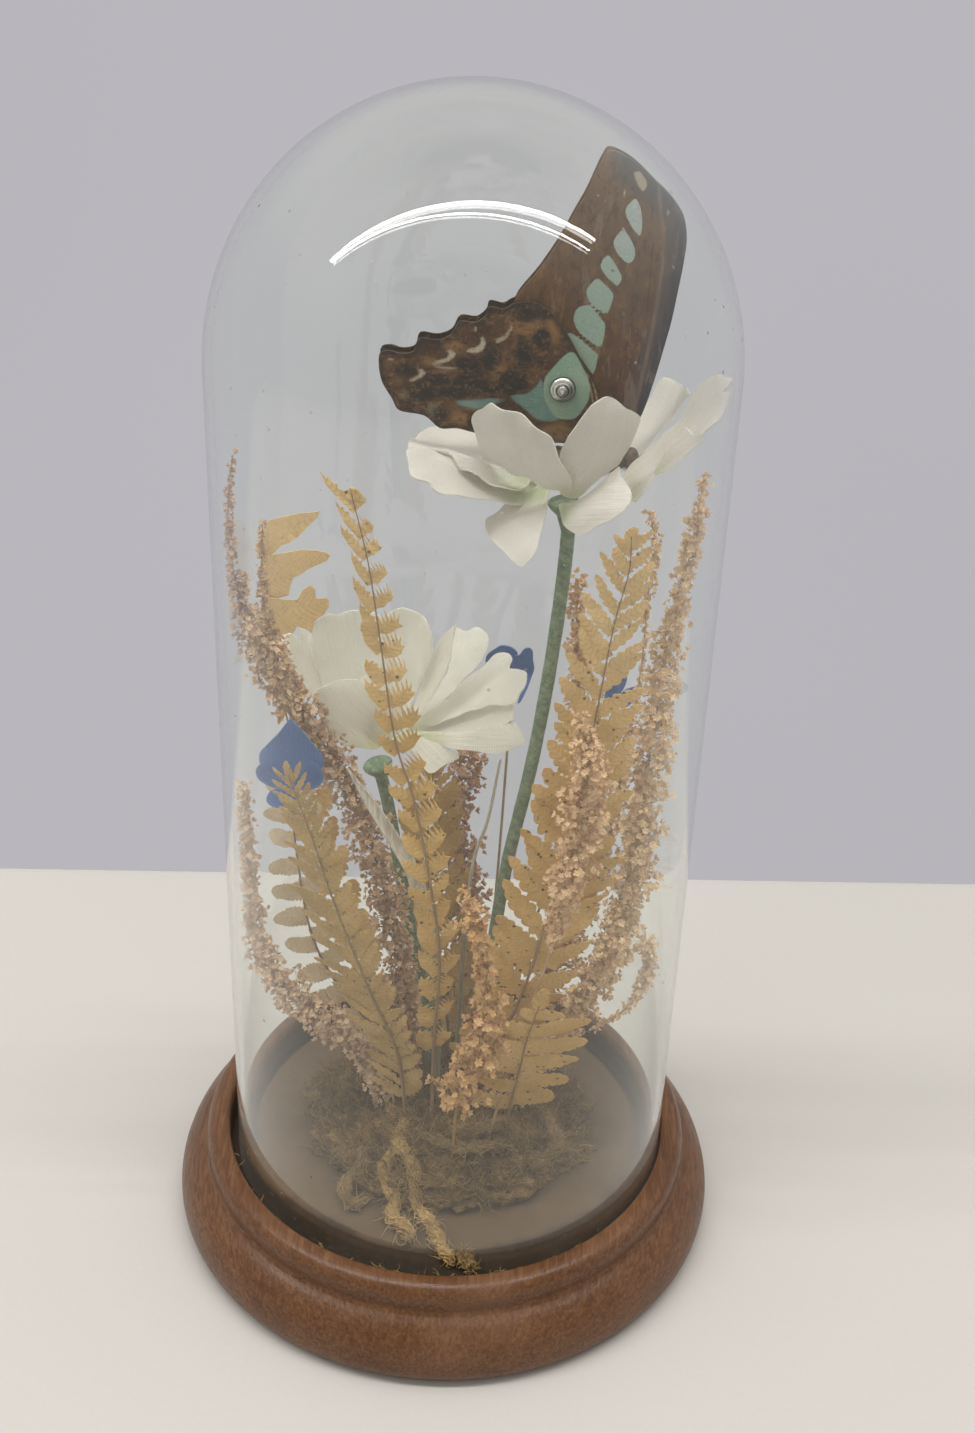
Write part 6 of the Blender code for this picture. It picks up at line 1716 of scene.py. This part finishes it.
def makeHeap():
    bm = bmesh.new()
    bmesh.ops.create_uvsphere(bm, u_segments=120, v_segments=80, radius=1.0)
    middle, half = moss["middle"], moss["half"]
    for vert in bm.verts:
        # wide lumps, and crumbs over them
        lump = 1 + 0.12 * noise.noise(vert.co * 2.6) + 0.10 * noise.fractal(vert.co * 8.0, 0.7, 2.2, 5)
        vert.co = spot(middle[0] + vert.co.x * half[0] * lump, middle[1] + vert.co.y * half[1] * lump,
                       floorHeight + 0.3 + vert.co.z * half[2] * lump)
    bmesh.ops.bisect_plane(bm, geom=bm.verts[:] + bm.edges[:] + bm.faces[:], dist=1e-7,
                           plane_co=spot(0, 0, floorHeight + 0.05), plane_no=(0, 0, -1), clear_outer=True)
    closeHoles(bm)
    return bm


def wisps(draw, line, thick, count, radius, loose, twists):  # fibres that wind along a line, and stray ones
    path = smoothPath(line, 40)
    ways = pathFrames(path, (0, 0, 1))
    fibres = []
    for _ in range(count):
        turn, ring, twist = draw.uniform(0, 6.28), draw.uniform(0.1, 1.0) ** 0.6, draw.uniform(*twists)
        first = draw.randrange(0, 26)
        last = min(first + draw.randrange(10, 30), len(path))
        points = []
        for i in range(first, last, 2):
            along, across, normal = ways[i]
            wide = thick * ring * (0.85 + 0.28 * math.sin(i * 0.7 + 0.4 + thick))
            a = turn + twist * i
            jitter = anyWay(draw, loose, loose, loose * 0.7)
            points.append(path[i] + across * wide * math.cos(a) + normal * wide * 0.85 * math.sin(a) + jitter)
        ends = [1 - 0.6 * abs(2 * i / len(points) - 1) ** 3 for i in range(len(points))]
        fibres.append((points, [radius * draw.uniform(0.7, 1.2) * thin for thin in ends]))
    for _ in range(count):
        i = draw.randrange(1, len(path) - 1)
        way = Vector((draw.gauss(0, 1), draw.gauss(0, 1), draw.gauss(0.1, 0.6)))
        start = path[i] + way.normalized() * thick * 0.5
        fibres.append(strandOf(draw, start, way, draw.uniform(1.2, 3.8), 1.2, 6, 0.10))
    return fibres


def keptInside(fibres, out=moss["insideDome"]):
    return [(points, radii) for points, radii in fibres
            if len(points) > 2 and all(p.z > floorHeight + 0.15 and math.hypot(p.x, p.y) < out for p in points)]


def scattered(draw, heap):  # dark and golden fibres all over the heap
    dark, gold = [], []
    while len(dark) + len(gold) < moss["fibres"]:
        turn, out = draw.uniform(0, 2 * math.pi), math.sqrt(draw.random())
        x = moss["middle"][0] + moss["half"][0] * moss["straySize"] * out * math.cos(turn)
        y = moss["middle"][1] + moss["half"][1] * moss["straySize"] * out * math.sin(turn)
        hit, normal = heap.ray_cast(spot(x, y, 60), Vector((0, 0, -1)))[:2]
        if hit is None:
            continue
        way = normal + anyWay(draw, 0.9, 0.9, 0.4)
        start = hit / mm - normal * 0.3
        length = draw.uniform(*moss["strayLength"])
        fibre = strandOf(draw, start, way, length, 1.3, 4, draw.uniform(*moss["strayRadius"]))
        golden = draw.random() < moss["goldenShare"] * (2.0 if y < -8 else 0.8)  # more of them at the front
        (gold if golden else dark).append(fibre)
    return dark, gold


def grooveBits(draw):  # crumbs between the glass and the groove's outer side, mostly in front
    bits = []
    for _ in range(moss["bits"]):
        turn = math.radians(draw.gauss(-70, 32))
        radius = draw.uniform(*moss["bitsRing"])
        height = base["grooveFloor"] + draw.uniform(*moss["bitsHeight"])
        start = Vector((radius * math.cos(turn), radius * math.sin(turn), height))
        way = (draw.gauss(0, 1), draw.gauss(0, 0.4), draw.gauss(0.6, 0.5))
        length = draw.uniform(*moss["bitLength"])
        bits.append(strandOf(draw, start, way, length, 1.1, 5, draw.uniform(*moss["bitRadius"])))

    def fits(p):
        inGroove = math.hypot(p.x, p.y) < moss["grooveWall"] or p.z > moss["grooveTop"]
        return inGroove and math.hypot(p.x - dome["shift"], p.y) > moss["glassWall"]

    return [(points, radii) for points, radii in bits if all(fits(p) for p in points)]


def makeMoss():
    draw = random.Random(11)
    dark = paintMoss("dark_moss", (0.092, 0.057, 0.020), (0.32, 0.205, 0.074))
    golden = paintMoss("golden_moss_fibre", (0.25, 0.165, 0.066), (0.50, 0.34, 0.15))
    cord = paintMoss("golden_moss_cord", (0.35, 0.225, 0.085), (0.65, 0.44, 0.185))
    bm = makeHeap()
    darkFibres, goldFibres = scattered(draw, BVHTree.FromBMesh(bm))
    addTubes(bm, keptInside(darkFibres), 3)
    addPiece("moss_heap", bm, dark, ["moss_mound"])

    for line in moss["curls"]:
        goldFibres += wisps(draw, line, moss["curlThick"], *moss["curlWisps"])
    bm = bmesh.new()
    addTubes(bm, keptInside(goldFibres), 4)
    addPiece("golden_moss_tufts", bm, golden)

    bm = bmesh.new()
    for line, thick in zip(moss["strand"], moss["strandThick"]):
        addTubes(bm, keptInside(wisps(draw, line, thick, *moss["strandWisps"]), moss["strandInside"]), 4)
    addPiece("golden_moss_strand", bm, cord, ["moss_strand"])

    bm = bmesh.new()
    addTubes(bm, grooveBits(draw), 4)
    addPiece("moss_bits_in_groove", bm, golden)


makeMoss()
print("moss done")
